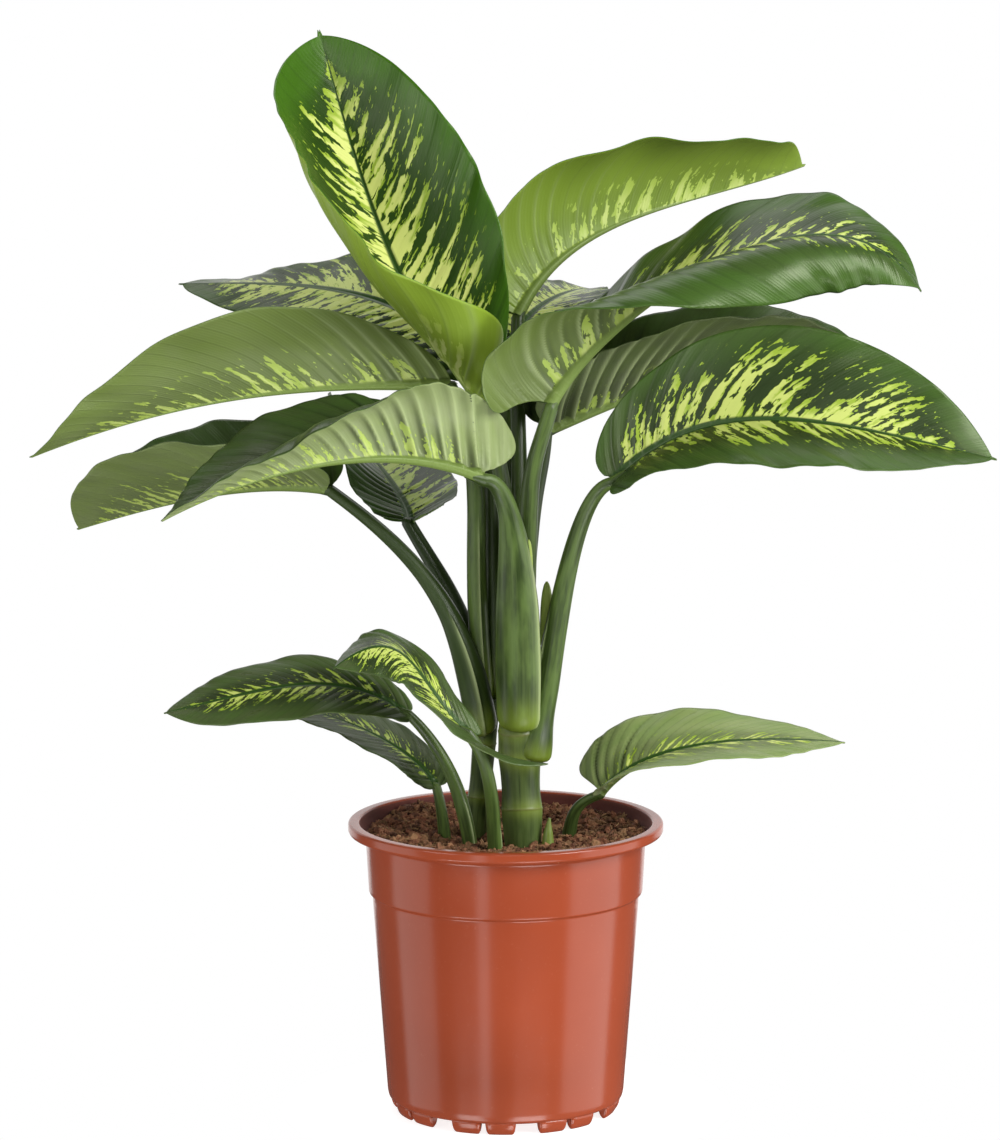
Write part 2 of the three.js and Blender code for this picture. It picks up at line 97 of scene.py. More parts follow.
def soft_lamp(name, place, target, width, height, brightness):
    """A rectangular lamp that shines from a place at a target; its power is pi x area x brightness."""
    light = bpy.data.lights.new(name, "AREA")
    light.shape, light.size, light.size_y = "RECTANGLE", width, height
    light.energy = np.pi * width * height * brightness
    lamp = bpy.data.objects.new(name, light)
    lamp.location = place
    way = lamp.location - type(lamp.location)(target)
    lamp.rotation_euler = way.to_track_quat("Z", "Y").to_euler()
    lamp.visible_camera = False
    bpy.context.collection.objects.link(lamp)


for name, numbers in LAMPS.items():
    soft_lamp(name, *numbers)
world = bpy.data.worlds.new("studio")
bpy.context.scene.world = world
world.use_nodes = True
sky = world.node_tree
sky.nodes.clear()
choice = sky.nodes.new("ShaderNodeMixShader")
sky.links.new(sky.nodes.new("ShaderNodeLightPath").outputs["Is Camera Ray"], choice.inputs[0])
for place, strength in enumerate((WALLS, SEEN)):
    shade = sky.nodes.new("ShaderNodeBackground")
    shade.inputs["Color"].default_value = (1, 1, 1, 1)
    shade.inputs["Strength"].default_value = strength
    sky.links.new(shade.outputs[0], choice.inputs[place + 1])
sky.links.new(choice.outputs[0], sky.nodes.new("ShaderNodeOutputWorld").inputs["Surface"])
print("lamps:", len(LAMPS), "and a white sky")

# %% [markdown]
# ## Tools: curves and meshes
# Every rib and stalk of the plant is one smooth curve through four points, as in the part's source. A
# surface is a grid of points in rows and columns, and one function turns such grids into a mesh, with a UV
# map and with numbers kept on its points for the materials to read.

# %% Vectors and curves
# a millimetre in metres
MM = 0.001


def unit(v):
    """Each vector divided by its own length."""
    return v / np.maximum(np.linalg.norm(v, axis=-1, keepdims=True), 1e-9)


def mix(a, b, k):
    """The value k of the way from a to b."""
    return a + (b - a) * k


def ease(low, high, x):
    """0 below low, 1 above high, and 3k^2 - 2k^3 between them, where k is how far x has come."""
    k = np.clip((x - low) / (high - low), 0, 1)
    return k * k * (3 - 2 * k)


def dot(a, b):
    """The dot product of each pair of vectors, kept as a column."""
    return np.sum(a * b, axis=-1, keepdims=True)


def curve_through(points):
    """The control points a, b, c, d of the cubic curve that passes four points at 0, 1/3, 2/3 and 1."""
    a, b, c, d = np.array(points, float)
    return a, (-5 * a + 18 * b - 9 * c + 2 * d) / 6, (2 * a - 9 * b + 18 * c - 5 * d) / 6, d


def curve_point(curve, u):
    """v^3 a + 3 v^2 u b + 3 v u^2 c + u^3 d, with v = 1 - u."""
    a, b, c, d = curve
    u = np.asarray(u, float)[..., None]
    v = 1 - u
    return v**3 * a + 3 * v * v * u * b + 3 * v * u * u * c + u**3 * d


def curve_way(curve, u):
    """The direction of the curve at u: v^2 (b - a) + 2 v u (c - b) + u^2 (d - c), made one long."""
    a, b, c, d = curve
    u = np.asarray(u, float)[..., None]
    v = 1 - u
    return unit(v * v * (b - a) + 2 * v * u * (c - b) + u * u * (d - c))


print("curve check:", curve_point(curve_through([[0, 0, 0], [1, 0, 1], [2, 0, 1], [3, 0, 0]]), 1 / 3))


# %% Grids and meshes
def circle(count):
    """So many angles, evenly spaced round a circle from 0."""
    return np.linspace(0, 2 * np.pi, count + 1)[:-1]


def grid_faces(rows, columns, closed=False, first=0):
    """The four corners of each square of a grid whose points are counted row by row from first."""
    i = np.arange(rows - 1)[:, None] * columns
    j = np.arange(columns if closed else columns - 1)[None, :]
    k = (j + 1) % columns
    corners = np.broadcast_arrays(i + j, i + k, i + columns + k, i + columns + j)
    return np.stack(corners, -1).reshape(-1, 4) + first


def make_piece(name, points, faces, node, materials, uv=None, marks=None, paint=None, smooth=True):
    """A mesh object from points in millimetres and a list of face arrays, which stands for a CAD node.

    uv has two numbers a point, marks are named numbers on the points, and paint is each face's material.
    """
    points = np.reshape(points, (-1, 3)) * MM
    corners = np.concatenate([f.ravel() for f in faces]).astype(np.int32)
    sizes = np.concatenate([np.full(len(f), f.shape[1]) for f in faces])
    mesh = bpy.data.meshes.new(name)
    mesh.vertices.add(len(points))
    mesh.vertices.foreach_set("co", points.astype(np.float32).ravel())
    mesh.loops.add(len(corners))
    mesh.loops.foreach_set("vertex_index", corners)
    mesh.polygons.add(len(sizes))
    mesh.polygons.foreach_set("loop_start", (np.cumsum(sizes) - sizes).astype(np.int32))
    mesh.polygons.foreach_set("use_smooth", np.full(len(sizes), smooth))
    for material in materials:
        mesh.materials.append(material)
    if paint is not None:
        mesh.polygons.foreach_set("material_index", np.asarray(paint, np.int32))
    if uv is not None:
        places = np.reshape(uv, (-1, 2))[corners].astype(np.float32)
        mesh.uv_layers.new(name="UVMap").data.foreach_set("uv", places.ravel())
    for key, values in (marks or {}).items():
        numbers = np.broadcast_to(np.ravel(values).astype(np.float32), len(points))
        mesh.attributes.new(key, "FLOAT", "POINT").data.foreach_set("value", np.ascontiguousarray(numbers))
    mesh.update(calc_edges=True)
    mesh.validate()
    piece = bpy.data.objects.new(name, mesh)
    bpy.context.collection.objects.link(piece)
    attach(piece, "root")
    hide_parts(node)
    print(name, len(mesh.polygons), "faces")


# %% [markdown]
# ## Tools: materials
# A material is a tree of nodes. These helpers add one node at a time, set its inputs or link them, and hand
# back the socket that carries the result, so that a material below reads like a sum.


# %% Node helpers
def feed(tree, node, inputs):
    """Gives a node its inputs, which are numbers, colours or the sockets of other nodes."""
    for key, value in inputs.items():
        if isinstance(value, bpy.types.NodeSocket):
            tree.links.new(value, node.inputs[key])
        else:
            node.inputs[key].default_value = value
    return node.outputs


def add(tree, kind, inputs, output=0, **settings):
    """The output socket of a new node."""
    node = tree.nodes.new(kind)
    for key, value in settings.items():
        setattr(node, key, value)
    return feed(tree, node, inputs)[output]


def calc(tree, work, *values):
    """A piece of arithmetic on one, two or three numbers."""
    return add(tree, "ShaderNodeMath", dict(enumerate(values)), operation=work)


def plus(tree, a, b):
    """a + b."""
    return calc(tree, "ADD", a, b)


def minus(tree, a, b):
    """a - b."""
    return calc(tree, "SUBTRACT", a, b)


def times(tree, a, b):
    """a times b."""
    return calc(tree, "MULTIPLY", a, b)


def line(tree, x, slope, start):
    """slope x + start."""
    return calc(tree, "MULTIPLY_ADD", x, slope, start)


def blend(tree, share, first, second):
    """The first colour, turned into the second by the share from 0 to 1."""
    inputs = {0: share, 6: first, 7: second}
    return add(tree, "ShaderNodeMix", inputs, output=2, data_type="RGBA")


def scale_range(tree, value, low, high, new_low=0.0, new_high=1.0):
    """A smooth step: new_low where the value is low, new_high where it is high."""
    inputs = {"Value": value, "From Min": low, "From Max": high, "To Min": new_low, "To Max": new_high}
    return add(tree, "ShaderNodeMapRange", inputs, interpolation_type="SMOOTHSTEP")


def vector(tree, x, y, z):
    """Three numbers as one vector."""
    return add(tree, "ShaderNodeCombineXYZ", {0: x, 1: y, 2: z})


def noise(tree, place, scale, detail, roughness):
    """Cloudy noise from 0 to 1 at a place."""
    inputs = {"Vector": place, "Scale": scale, "Detail": detail, "Roughness": roughness}
    return add(tree, "ShaderNodeTexNoise", inputs)


def mark(tree, name):
    """A number kept on the points of the mesh."""
    return add(tree, "ShaderNodeAttribute", {}, output="Fac", attribute_name=name)


def bump(tree, height, depth, strength):
    """The normal of a surface with a height from 0 to 1, so many metres deep."""
    return add(tree, "ShaderNodeBump", {"Height": height, "Distance": depth, "Strength": strength})


def rgb(red, green, blue):
    """A colour given as a screen shows it, from 0 to 255, as the linear numbers that a shader works with."""
    c = np.array([red, green, blue]) / 255
    linear = np.where(c <= 0.04045, c / 12.92, ((c + 0.055) / 1.055) ** 2.4)
    return (*linear.tolist(), 1.0)


def new_material(name):
    """An empty material's tree and its Principled shader."""
    material = bpy.data.materials.new(name)
    material.use_nodes = True
    tree = material.node_tree
    tree.nodes.clear()
    shader = tree.nodes.new("ShaderNodeBsdfPrincipled")
    tree.links.new(shader.outputs[0], tree.nodes.new("ShaderNodeOutputMaterial").inputs["Surface"])
    print("material:", name)
    return material, tree, shader


def new_group(name, place, numbers, results):
    """An empty node group that is given a place and numbers: its tree, what it is given, and its end."""
    group = bpy.data.node_groups.new(name, "ShaderNodeTree")
    group.interface.new_socket(place, in_out="INPUT", socket_type="NodeSocketVector")
    for way, keys in (("INPUT", numbers), ("OUTPUT", results)):
        for key in keys:
            group.interface.new_socket(key, in_out=way, socket_type="NodeSocketFloat")
    print("group:", name)
    return group, group.nodes.new("NodeGroupInput").outputs, group.nodes.new("NodeGroupOutput")


def use_group(tree, group, inputs):
    """The outputs of a group placed in a tree."""
    node = tree.nodes.new("ShaderNodeGroup")
    node.node_tree = group
    return feed(tree, node, inputs)


def read_map(group, place):
    """The first two numbers of a place: on a leaf the way along it and across it."""
    parts = group.nodes.new("ShaderNodeSeparateXYZ")
    group.links.new(place, parts.inputs[0])
    return parts.outputs[0], parts.outputs[1]


# %% [markdown]
# ## Effects that several materials share
# On the leaf, the side veins leave the midrib and sweep to the margin, and the pale patches of the
# variegation run out between them like fingers. An image could be painted for each leaf, but a rule serves
# all of them. Both effects follow the leaf's own map, in which one number runs from stalk to tip and the
# other from margin to margin. A vein is a line of one value, and a finger is a place along the leaf where
# noise is high. Stalks and canes share fine fibres that run along them.


# %% Variegation
def leaf_place(group, leaf_map):
    """How far along the leaf a point is, how far out from the rib, and 1 on the right half, else 0."""
    along, across = read_map(group, leaf_map)
    signed = line(group, across, 2.0, -1.0)
    return along, calc(group, "ABSOLUTE", signed), calc(group, "GREATER_THAN", signed, 0.0)


def make_variegation():
    """Fingers of pale tissue: at each place along the leaf they reach out from the rib as far as a comb says.

    length = reach (fill + (1.15 - fill) comb), where comb is noise along the leaf. Fine noise shakes both
    directions, so the sides are ragged. Green islands stay inside, and specks lie beyond the ends.
    """
    group, given, out = new_group(
        "Variegation", "Leaf map", ["Seed", "Reach", "Fill"], ["Patch", "Core", "Zone"]
    )
    along, away, half = leaf_place(group, given["Leaf map"])
    layer = line(group, half, 3.7, given["Seed"])

    def drawn_noise(cells, cells_out, shift, detail, base=along):
        """Noise with so many cells along the leaf and from the rib to the margin."""
        x, y = times(group, base, cells), times(group, away, cells_out)
        return noise(group, vector(group, x, y, plus(group, layer, shift)), 1.0, detail, 0.6)

    shaken = line(group, drawn_noise(75.0, 9.0, 1.0, 3.0), 0.022, along)
    crowd = line(group, drawn_noise(11.0, 0.0, 6.0, 0.0), 0.5, -0.25)
    comb = plus(group, scale_range(group, drawn_noise(38.0, 0.8, 2.0, 1.0, shaken), 0.34, 0.66), crowd)
    filled = line(group, comb, minus(group, 1.15, given["Fill"]), given["Fill"])
    foot, tip = scale_range(group, along, 0.0, 0.08), scale_range(group, along, 1.0, 0.72)
    reach = times(group, given["Reach"], times(group, foot, tip))
    ragged = line(group, drawn_noise(120.0, 12.0, 3.0, 3.0), 0.4, -0.2)
    length = line(group, filled, reach, times(group, ragged, reach))
    islands = scale_range(group, drawn_noise(56.0, 5.0, 4.0, 2.0, shaken), 0.5, 0.62, 0.0, 0.7)
    excess = minus(group, minus(group, length, away), islands)
    near = scale_range(group, minus(group, away, reach), 0.2, 0.0)
    specks = times(group, scale_range(group, drawn_noise(85.0, 9.0, 5.0, 2.0), 0.65, 0.68), near)
    past = calc(group, "DIVIDE", away, plus(group, reach, 0.02))
    feed(group, out, {
        "Patch": calc(group, "MAXIMUM", scale_range(group, excess, -0.012, 0.012), specks),
        "Core": scale_range(group, excess, 0.04, 0.3),
        "Zone": scale_range(group, past, 1.5, 0.6),
    })
    return group


variegation = make_variegation()


# %% Veins
def make_veins():
    """Side veins as lines of equal distance along the leaf: 1 on a vein, falling to 0 between two."""
    group, given, out = new_group(
        "Leaf_veins", "Leaf map", ["Seed", "Count"], ["Vein", "Fine", "Mottle", "Margin"]
    )
    along, away, half = leaf_place(group, given["Leaf map"])
    turns = line(group, along, given["Count"], times(group, half, 0.5))

    def stripes(turns, width):
        """1 half way through each turn, and 0 beyond a width from there."""
        past = minus(group, calc(group, "FRACT", turns), 0.5)
        return scale_range(group, calc(group, "ABSOLUTE", past), width, 0.0)

    place = vector(group, times(group, along, 9.0), times(group, away, 2.5), given["Seed"])
    feed(group, out, {
        "Vein": stripes(turns, 0.13),
        "Fine": stripes(times(group, turns, 5.0), 0.3),
        "Mottle": noise(group, place, 1.0, 3.0, 0.6),
        "Margin": scale_range(group, away, 0.3, 0.95),
    })
    return group


leaf_veins = make_veins()


# %% Fibres
def make_fibres():
    """Fibres that run along a stem: noise on a cylinder, read slowly lengthwise and fast round it."""
    group, given, out = new_group("Stem_fibres", "Stem map", ["Seed"], ["Fibre", "Mottle"])
    run, share = read_map(group, given["Stem map"])
    turn = times(group, share, 2 * np.pi)
    length = line(group, run, 12.0, given["Seed"])
    across, inward = (times(group, calc(group, wave, turn), 7.0) for wave in ("COSINE", "SINE"))
    slow = vector(group, times(group, across, 0.18), times(group, inward, 0.18), times(group, length, 2.2))
    feed(group, out, {
        "Fibre": noise(group, vector(group, across, inward, length), 1.0, 3.0, 0.6),
        "Mottle": noise(group, slow, 1.0, 3.0, 0.55),
    })
    return group


stem_fibres = make_fibres()

# %% [markdown]
# ## Leaf materials
# The upper surface is deep green and glossy, darkest round its ragged patches of yellow-green, which pale
# to cream in their middle. Painted shade darkens its vein grooves. The underside is duller and greyer, its
# veins stand out with a painted highlight beside painted shade in the hollows, and the patches show through it
# faintly. A material for each leaf would be thirty materials. Here a leaf keeps numbers on its points instead,
# such as how far its patches reach, how light and how fresh its green is, the painted shading of its creases,
# and a seed that makes its pattern its own, so one pair of materials serves all fifteen blades.


# %% Upper and lower leaf surface
# side veins along each half of a blade
VEINS = 24
UPPER, LOWER = 0, 1
# one of these marks paints shade and highlight into the creases and onto the veins
LEAF_MARKS = ("seed", "reach", "fill", "cream", "lightness", "fresh", "rib", "painted_crease_shading")
LEAF_COLOURS = {
    # of the upper and of the lower side, as a screen shows them
    "dull deep": ((28, 40, 20), (44, 52, 30)), "dull light": ((140, 154, 98), (150, 162, 116)),
    "fresh deep": ((30, 66, 10), (54, 76, 20)), "fresh light": ((86, 132, 26), (140, 168, 46)),
    "margin": ((70, 118, 20), (104, 126, 48)), "zone": ((16, 32, 10), (46, 60, 26)),
    # painted light: the shade colour darkens creases and vein grooves, and the ridge colour lightens the veins
    # below
    "vein": ((30, 46, 22), (50, 62, 28)), "shade": ((16, 26, 12), (26, 36, 16)),
    "painted_vein_line": ((120, 140, 80), (176, 190, 136)), "rib": ((44, 74, 26), (108, 128, 62)),
    "patch": ((150, 176, 54), (158, 180, 78)), "core": ((216, 224, 130), (196, 208, 128)),
}


def leaf_material(name, side, roughness, patch_share, zone_share, vein_share, relief):
    """A leaf surface: its green, dark round the patches and lighter at the margin, veins, and the patches."""
    material, tree, shader = new_material(name)
    colours = {key: rgb(*both[side]) for key, both in LEAF_COLOURS.items()}
    leaf_map = add(tree, "ShaderNodeUVMap", {}, uv_map="UVMap")
    kept = {key: mark(tree, key) for key in LEAF_MARKS}
    given = {"Leaf map": leaf_map, "Seed": kept["seed"]}
    veins = use_group(tree, leaf_veins, given | {"Count": float(VEINS)})
    patches = use_group(tree, variegation, given | {"Reach": kept["reach"], "Fill": kept["fill"]})
    dull = blend(tree, kept["lightness"], colours["dull deep"], colours["dull light"])
    fresh = blend(tree, kept["lightness"], colours["fresh deep"], colours["fresh light"])
    clouds = times(tree, scale_range(tree, veins["Mottle"], 0.32, 0.68), 0.25)
    outer = plus(tree, clouds, times(tree, veins["Margin"], line(tree, kept["fresh"], 0.4, 0.1)))
    green = blend(tree, kept["fresh"], dull, fresh)
    colour = blend(tree, outer, green, blend(tree, 0.5, fresh, colours["margin"]))
    dark = line(tree, kept["lightness"], -0.5 * zone_share, zone_share)
    layers = {
        "zone": times(tree, patches["Zone"], dark),
        "vein": times(tree, veins["Vein"], vein_share),
        # painted shade in the creases and grooves, and a painted highlight on the veins below
        "shade": times(tree, kept["painted_crease_shading"], 0.85),
        "painted_vein_line": times(tree, kept["painted_crease_shading"], -0.6),
        "rib": kept["rib"],
    }
    for key, share in layers.items():
        colour = blend(tree, share, colour, colours[key])
    patch = blend(tree, times(tree, patches["Core"], kept["cream"]), colours["patch"], colours["core"])
    share = times(tree, times(tree, patches["Patch"], patch_share), line(tree, kept["rib"], -1.0, 1.0))
    height = line(tree, veins["Fine"], 0.35, times(tree, veins["Vein"], relief))
    feed(tree, shader, {
        "Base Color": blend(tree, share, colour, patch),
        "Roughness": scale_range(tree, veins["Mottle"], 0.3, 0.7, roughness - 0.05, roughness + 0.07),
        "IOR": 1.42,
        "Specular Tint": (0.92, 1, 0.74, 1),
        "Normal": bump(tree, height, 0.0002, 0.6),
    })
    return material


leaf_top = leaf_material(
    "leaf_top", UPPER, 0.32, patch_share=1.0, zone_share=0.75, vein_share=0.15, relief=-0.6
)
leaf_under = leaf_material(
    "leaf_under", LOWER, 0.42, patch_share=0.85, zone_share=0.3, vein_share=0.1, relief=0.8
)

# %% [markdown]
# ## The blades
# A blade is a thin sheet on its midrib. It could be drawn flat and bent with modifiers, but a formula gives
# the same sheet as the part's source: one number s runs along the rib, another t across it from margin to
# margin. Each half is an arc, its veins sweep forward and its margin waves. On top of that come the forms
# that only the fine mesh can hold: the midrib, a half-round rod below and a groove above, the quilting
# between the side veins, which is deepest at the foot of the leaf, and an edge that thins out.

# %% The leaves' dimensions
# rib and stalk are points in millimetres, and girth is the stalk's radius from its foot to its top.
# half is half the blade's width, sides widens or narrows the left and the right half, full and taper shape
# the two ends, and lobes reach back past the stalk.
# face is where the upper side looks. roll tips the blade to one side and fold lifts both halves, in degrees
# at the stalk and at the tip. curl is how far the left and the right half bend on the way to the margin, in
# degrees at both ends again, and unroll is how soon that changes from the one to the other.
# wave is the margin's ripple: its height, its number and where it starts.
# hug moves a stalk's foot against the cane, and spur is the start, the end and the girth of a sheath's tip.
LEAVES = {
    "crown": dict(
        rib=[[-14, -5, 475], [-58, 14, 536], [-91, 42, 608], [-125, 75, 719]],
        stalk=[[5, -16, 341], [2, -12, 390], [-4, -9, 437]], girth=[6.2, 6, 5.5, 5, 4.6],
        half=79, sides=[1.4, 1], face=[0.14, -1, 0.91], roll=[18, -9], fold=[24, 28],
        curl=[[590, 44], [46, 4]], unroll=[8.9, 1],
        full=0.63, taper=0.76, lobes=[0.05, 0], wave=[3, 4, 0],
    ),
    "top_right": dict(
        rib=[[8, 40, 528], [57, 73, 578], [128, 106, 602], [205, 132, 623]],
        stalk=[[8, -6, 341], [9, 9, 425], [8, 25, 477]], girth=[6, 5.6, 5, 4.8, 4.4],
        half=69, roll=[-55, -27], fold=[70, 44], curl=[[0, 0], [-40, -99]],
        full=0.31, taper=0.52, lobes=[0, 0.05], wave=[3, 4, 1],
    ),
    "upper_right": dict(
        rib=[[29, -24, 477], [93, -20, 544], [190, -25, 588], [272, -15, 550]],
        stalk=[[13, -19, 341], [15, -22, 410], [19, -25, 443]], girth=[6.6, 6.4, 6, 5.8, 5.4],
        half=70, roll=[-55, 32], fold=[56, -2], curl=[[0, 0], [-38, -227]],
        full=0.39, taper=1, lobes=[0.04, 0.21], wave=[3, 5, 2],
    ),
    "mid_right": dict(
        rib=[[26, 12, 456], [99, 36, 481], [177, 58, 496], [253, 76, 484]],
        stalk=[[13, -4, 341], [17, 0, 399], [22, 5, 429]], girth=[6, 6, 5.6, 5.4, 5],
        half=62, roll=[-15, 0], fold=[50, 34],
        full=0.5, taper=0.85, lobes=[0.07, 0.07], wave=[3, 4, 3],
    ),
    "front_right": dict(
        rib=[[69, -50, 431], [135, -70, 471], [215, -85, 472], [317, -85, 450]],
        stalk=[[20, -18, 241], [30, -20, 308], [45, -32, 388]],
        girth=[12.4, 10, 8.4, 8, 7.6, 7.2, 6.6, 6, 5.6, 5.2, 4.9, 4.6],
        spur=[[27, -19, 318], [27, -16, 360], 4], hug=[-3, -4, 0],
        half=62, face=[0, -0.2, 1], roll=[32, 32], fold=[28, 28], curl=[[10, 10], [-10, -10]],
        full=0.65, taper=0.95, lobes=[0.05, 0.05], wave=[3, 4, 4],
    ),
    "upper_left": dict(
        rib=[[-36, 14, 486], [-131, -6, 486], [-220, -20, 473], [-313, -25, 443]],
        stalk=[[-14, -2, 278], [-19, 1, 372], [-21, 7, 432]], girth=[7, 6.8, 6.4, 6, 5.6, 5.2],
        half=68, roll=[40, 10], fold=[42, 25], curl=[[20, 20], [0, 0]],
        full=0.8, taper=1.2, lobes=[0.02, 0.07], wave=[3, 5, 5],
    ),
    "front_left": dict(
        rib=[[-15, -50, 433], [-91, -90, 451], [-163, -125, 441], [-218, -150, 420]],
        stalk=[[9, -22, 262], [8, -30, 345], [2, -39, 408]], girth=[14.5, 15.5, 14.5, 11, 7, 5.6, 5],
        spur=[[14, -34, 352], [15, -36, 391], 3],
        half=65, roll=[44, 17], fold=[83, 22], curl=[[-69, -115], [0, 0]],
        full=0.61, taper=1.57, lobes=[0.13, 0], wave=[3, 4, 0.5],
    ),
    "mid_left": dict(
        rib=[[-116, 10, 417], [-174, 45, 412], [-234, 80, 396], [-293, 105, 376]],
        stalk=[[-15, -4, 256], [-31, -8, 322], [-63, 0, 372]], girth=[11, 10, 7, 5.4, 4.8, 4.4],
        half=62, roll=[0, 0], fold=[50, 42],
        full=0.6, taper=0.7, lobes=[0.07, 0.07], wave=[3, 4, 1.5],
    ),
    "top_left": dict(
        rib=[[-16, 34, 499], [-75, 64, 533], [-138, 94, 544], [-224, 125, 542]],
        stalk=[[-6, 4, 278], [-8, 13, 370], [-10, 23, 434]], girth=[6.4, 6, 5.6, 5.2, 4.8],
        half=45, face=[0, -0.2, 1], roll=[-31, -4], fold=[11, -15], curl=[[0, 0], [40, -7]],
        full=0.42, taper=0.77, lobes=[0.05, 0.05], wave=[3, 5, 2.5],
    ),
    "back_left": dict(
        rib=[[-65, 28, 393], [-76, 75, 410], [-101, 120, 435], [-120, 165, 451]],
        stalk=[[-15, 7, 250], [-26, 14, 316], [-44, 21, 358]], girth=[10, 8.5, 6.5, 5.2, 4.6],
        half=45, face=[0, -0.2, 1], roll=[-12, 61], fold=[18, 17],
        full=0.61, taper=1.05, lobes=[0.03, 0.26], wave=[2, 4, 3.5],
    ),
    "back_right": dict(
        rib=[[4, 46, 512], [23, 86, 530], [44, 129, 536], [60, 165, 534]],
        stalk=[[5, 1, 341], [4, 21, 411], [0, 36, 463]], girth=[6, 5.6, 5, 4.8, 4.4],
        half=36, face=[0, -0.2, 1], roll=[0, 0], fold=[10, 10],
        full=0.5, taper=1.1, lobes=[0.05, 0.05], wave=[2, 4, 4.5],
    ),
    "low_left": dict(
        rib=[[-64, -25, 273], [-115, -35, 294], [-168, -42, 290], [-225, -45, 277]],
        stalk=[[-22, -22, 170], [-31, -22, 218], [-47, -22, 252]], girth=[5, 5, 4.4, 4, 3.6],
        half=32, face=[0, -0.3, 1], roll=[-12, -12], fold=[3, 3], curl=[[0, -20], [0, -20]],
        full=0.6, taper=0.9, lobes=[0.05, 0.05], wave=[2, 3, 0], small=True,
    ),
    "lowest_left": dict(
        rib=[[-46, 0, 219], [-71, 10, 242], [-111, 20, 260], [-155, 30, 267]],
        stalk=[[-40, 2, 170], [-41, 1, 188], [-43, 0, 205]], girth=[4.4, 4.2, 3.8, 3.4],
        half=26, face=[0, -0.3, 1], roll=[5, 5], fold=[5, 5],
        full=0.6, taper=0.9, lobes=[0.05, 0.05], wave=[1.5, 3, 1], small=True,
    ),
    "low_front": dict(
        rib=[[-25, -57, 267], [-52, -71, 303], [-75, -85, 328], [-112, -100, 316]],
        stalk=[[-5, -36, 168], [-8, -42, 203], [-12, -51, 238]], girth=[5, 4.8, 4.4, 4],
        half=32, face=[0.2, -0.35, 0.98], roll=[-13, 4], fold=[19, -30],
        full=0.87, taper=0.95, lobes=[0.42, 0.12], wave=[1.5, 3, 2], small=True,
    ),
    "low_right": dict(
        rib=[[63, -5, 215], [101, -12, 242], [158, -15, 253], [226, -12, 251]],
        stalk=[[40, 6, 170], [43, 4, 190], [48, 0, 205]], girth=[5, 4.6, 4, 3.6],
        half=39, face=[0, -0.2, 1], roll=[7, 9], fold=[32, -5],
        full=0.32, taper=1.03, lobes=[0.07, 0], wave=[2, 3, 3], small=True,
    ),
}
# what a leaf has unless its own numbers say otherwise
PLAIN = dict(face=[0, -0.1, 1], curl=[[0, 0], [0, 0]], sides=[1, 1], unroll=[1, 1], small=False)
LEAVES = {name: PLAIN | leaf for name, leaf in LEAVES.items()}
print("leaves:", len(LEAVES))


# %% The sheet of a blade
def half_width(leaf, s, right):
    """s^full (1 - s)^taper, divided by its greatest value, with a narrow point at the tip, times half."""
    full, taper = leaf["full"], leaf["taper"]
    widest = full / (full + taper)
    body = np.minimum(s / 0.97, 1)
    shape = body**full * (1 - body) ** taper / (widest**full * (1 - widest) ** taper)
    left_share, right_share = leaf["sides"]
    return leaf["half"] * np.where(right, right_share, left_share) * (shape + 0.9 * (1 - s) * s**8)


def sheet_points(leaf, s, t):
    """The middle of the blade at s along it and t across it, as in the part's source.

    Each half leaves the rib at an angle, rise, and bends evenly with the distance w from it:
    out = (sin(rise + bent w) - sin(rise)) / bent, lift = (cos(rise) - cos(rise + bent w)) / bent.
    """
    curve = curve_through(leaf["rib"])
    right = t > 0
    a = np.abs(t)
    width = half_width(leaf, s, right)
    lobe = np.where(right, leaf["lobes"][1], leaf["lobes"][0]) * (s / 0.05) * np.exp(1 - s / 0.05)
    x = s + 0.5 * s * (1 - s) * (0.6 * a + 0.4 * a * a) - lobe * a * a
    inside = np.clip(x, 0, 1)
    way = curve_way(curve, inside)
    face = np.array(leaf["face"], float)
    up = unit(face - dot(way, face) * way)
    across = np.cross(way, up)
    lean = mix(*leaf["roll"], inside) * np.where(right, -1, 1)
    rise = np.radians(mix(*leaf["fold"], inside) + lean)
    (left_foot, left_tip), (right_foot, right_tip) = leaf["curl"]
    left_power, right_power = leaf["unroll"]
    unrolled = 1 - (1 - inside) ** np.where(right, right_power, left_power)
    curl = np.where(right, mix(right_foot, right_tip, unrolled), mix(left_foot, left_tip, unrolled))
    bent = np.radians(np.where(np.abs(curl) < 0.01, 0.01, curl)) / leaf["half"]
    angle = rise + bent * a * width
    height, count, phase = leaf["wave"]
    ripple = np.sin(2 * np.pi * count * x + phase + np.where(right, 0, 1.3))
    wave = 0.5 * height * a**2.5 * ripple * np.minimum(1, 4 * width / leaf["half"])
    out = (np.sin(angle) - np.sin(rise)) / bent - np.sin(angle) * wave
    lift = (np.cos(rise) - np.cos(angle)) / bent + np.cos(angle) * wave
    sign = np.where(right, 1, -1)
    return curve_point(curve, x) + (sign * out)[..., None] * across + lift[..., None] * up


def sheet_normals(points):
    """The crosswise step times the lengthwise step of the grid, made one long: the upper side's way."""
    return unit(np.cross(np.gradient(points, axis=1), np.gradient(points, axis=0)))


print("half width of the crown leaf, a third up:", half_width(LEAVES["crown"], 0.33, True).round(1), "mm")

# %% [markdown]
# Each leaf's look is a row of numbers, which its blade keeps on the points of the mesh. The grid is finest
# along the midrib, where the shape changes most within a few millimetres. The upper and the lower face share
# it, and a band closes the edge, so that the blade is one solid.

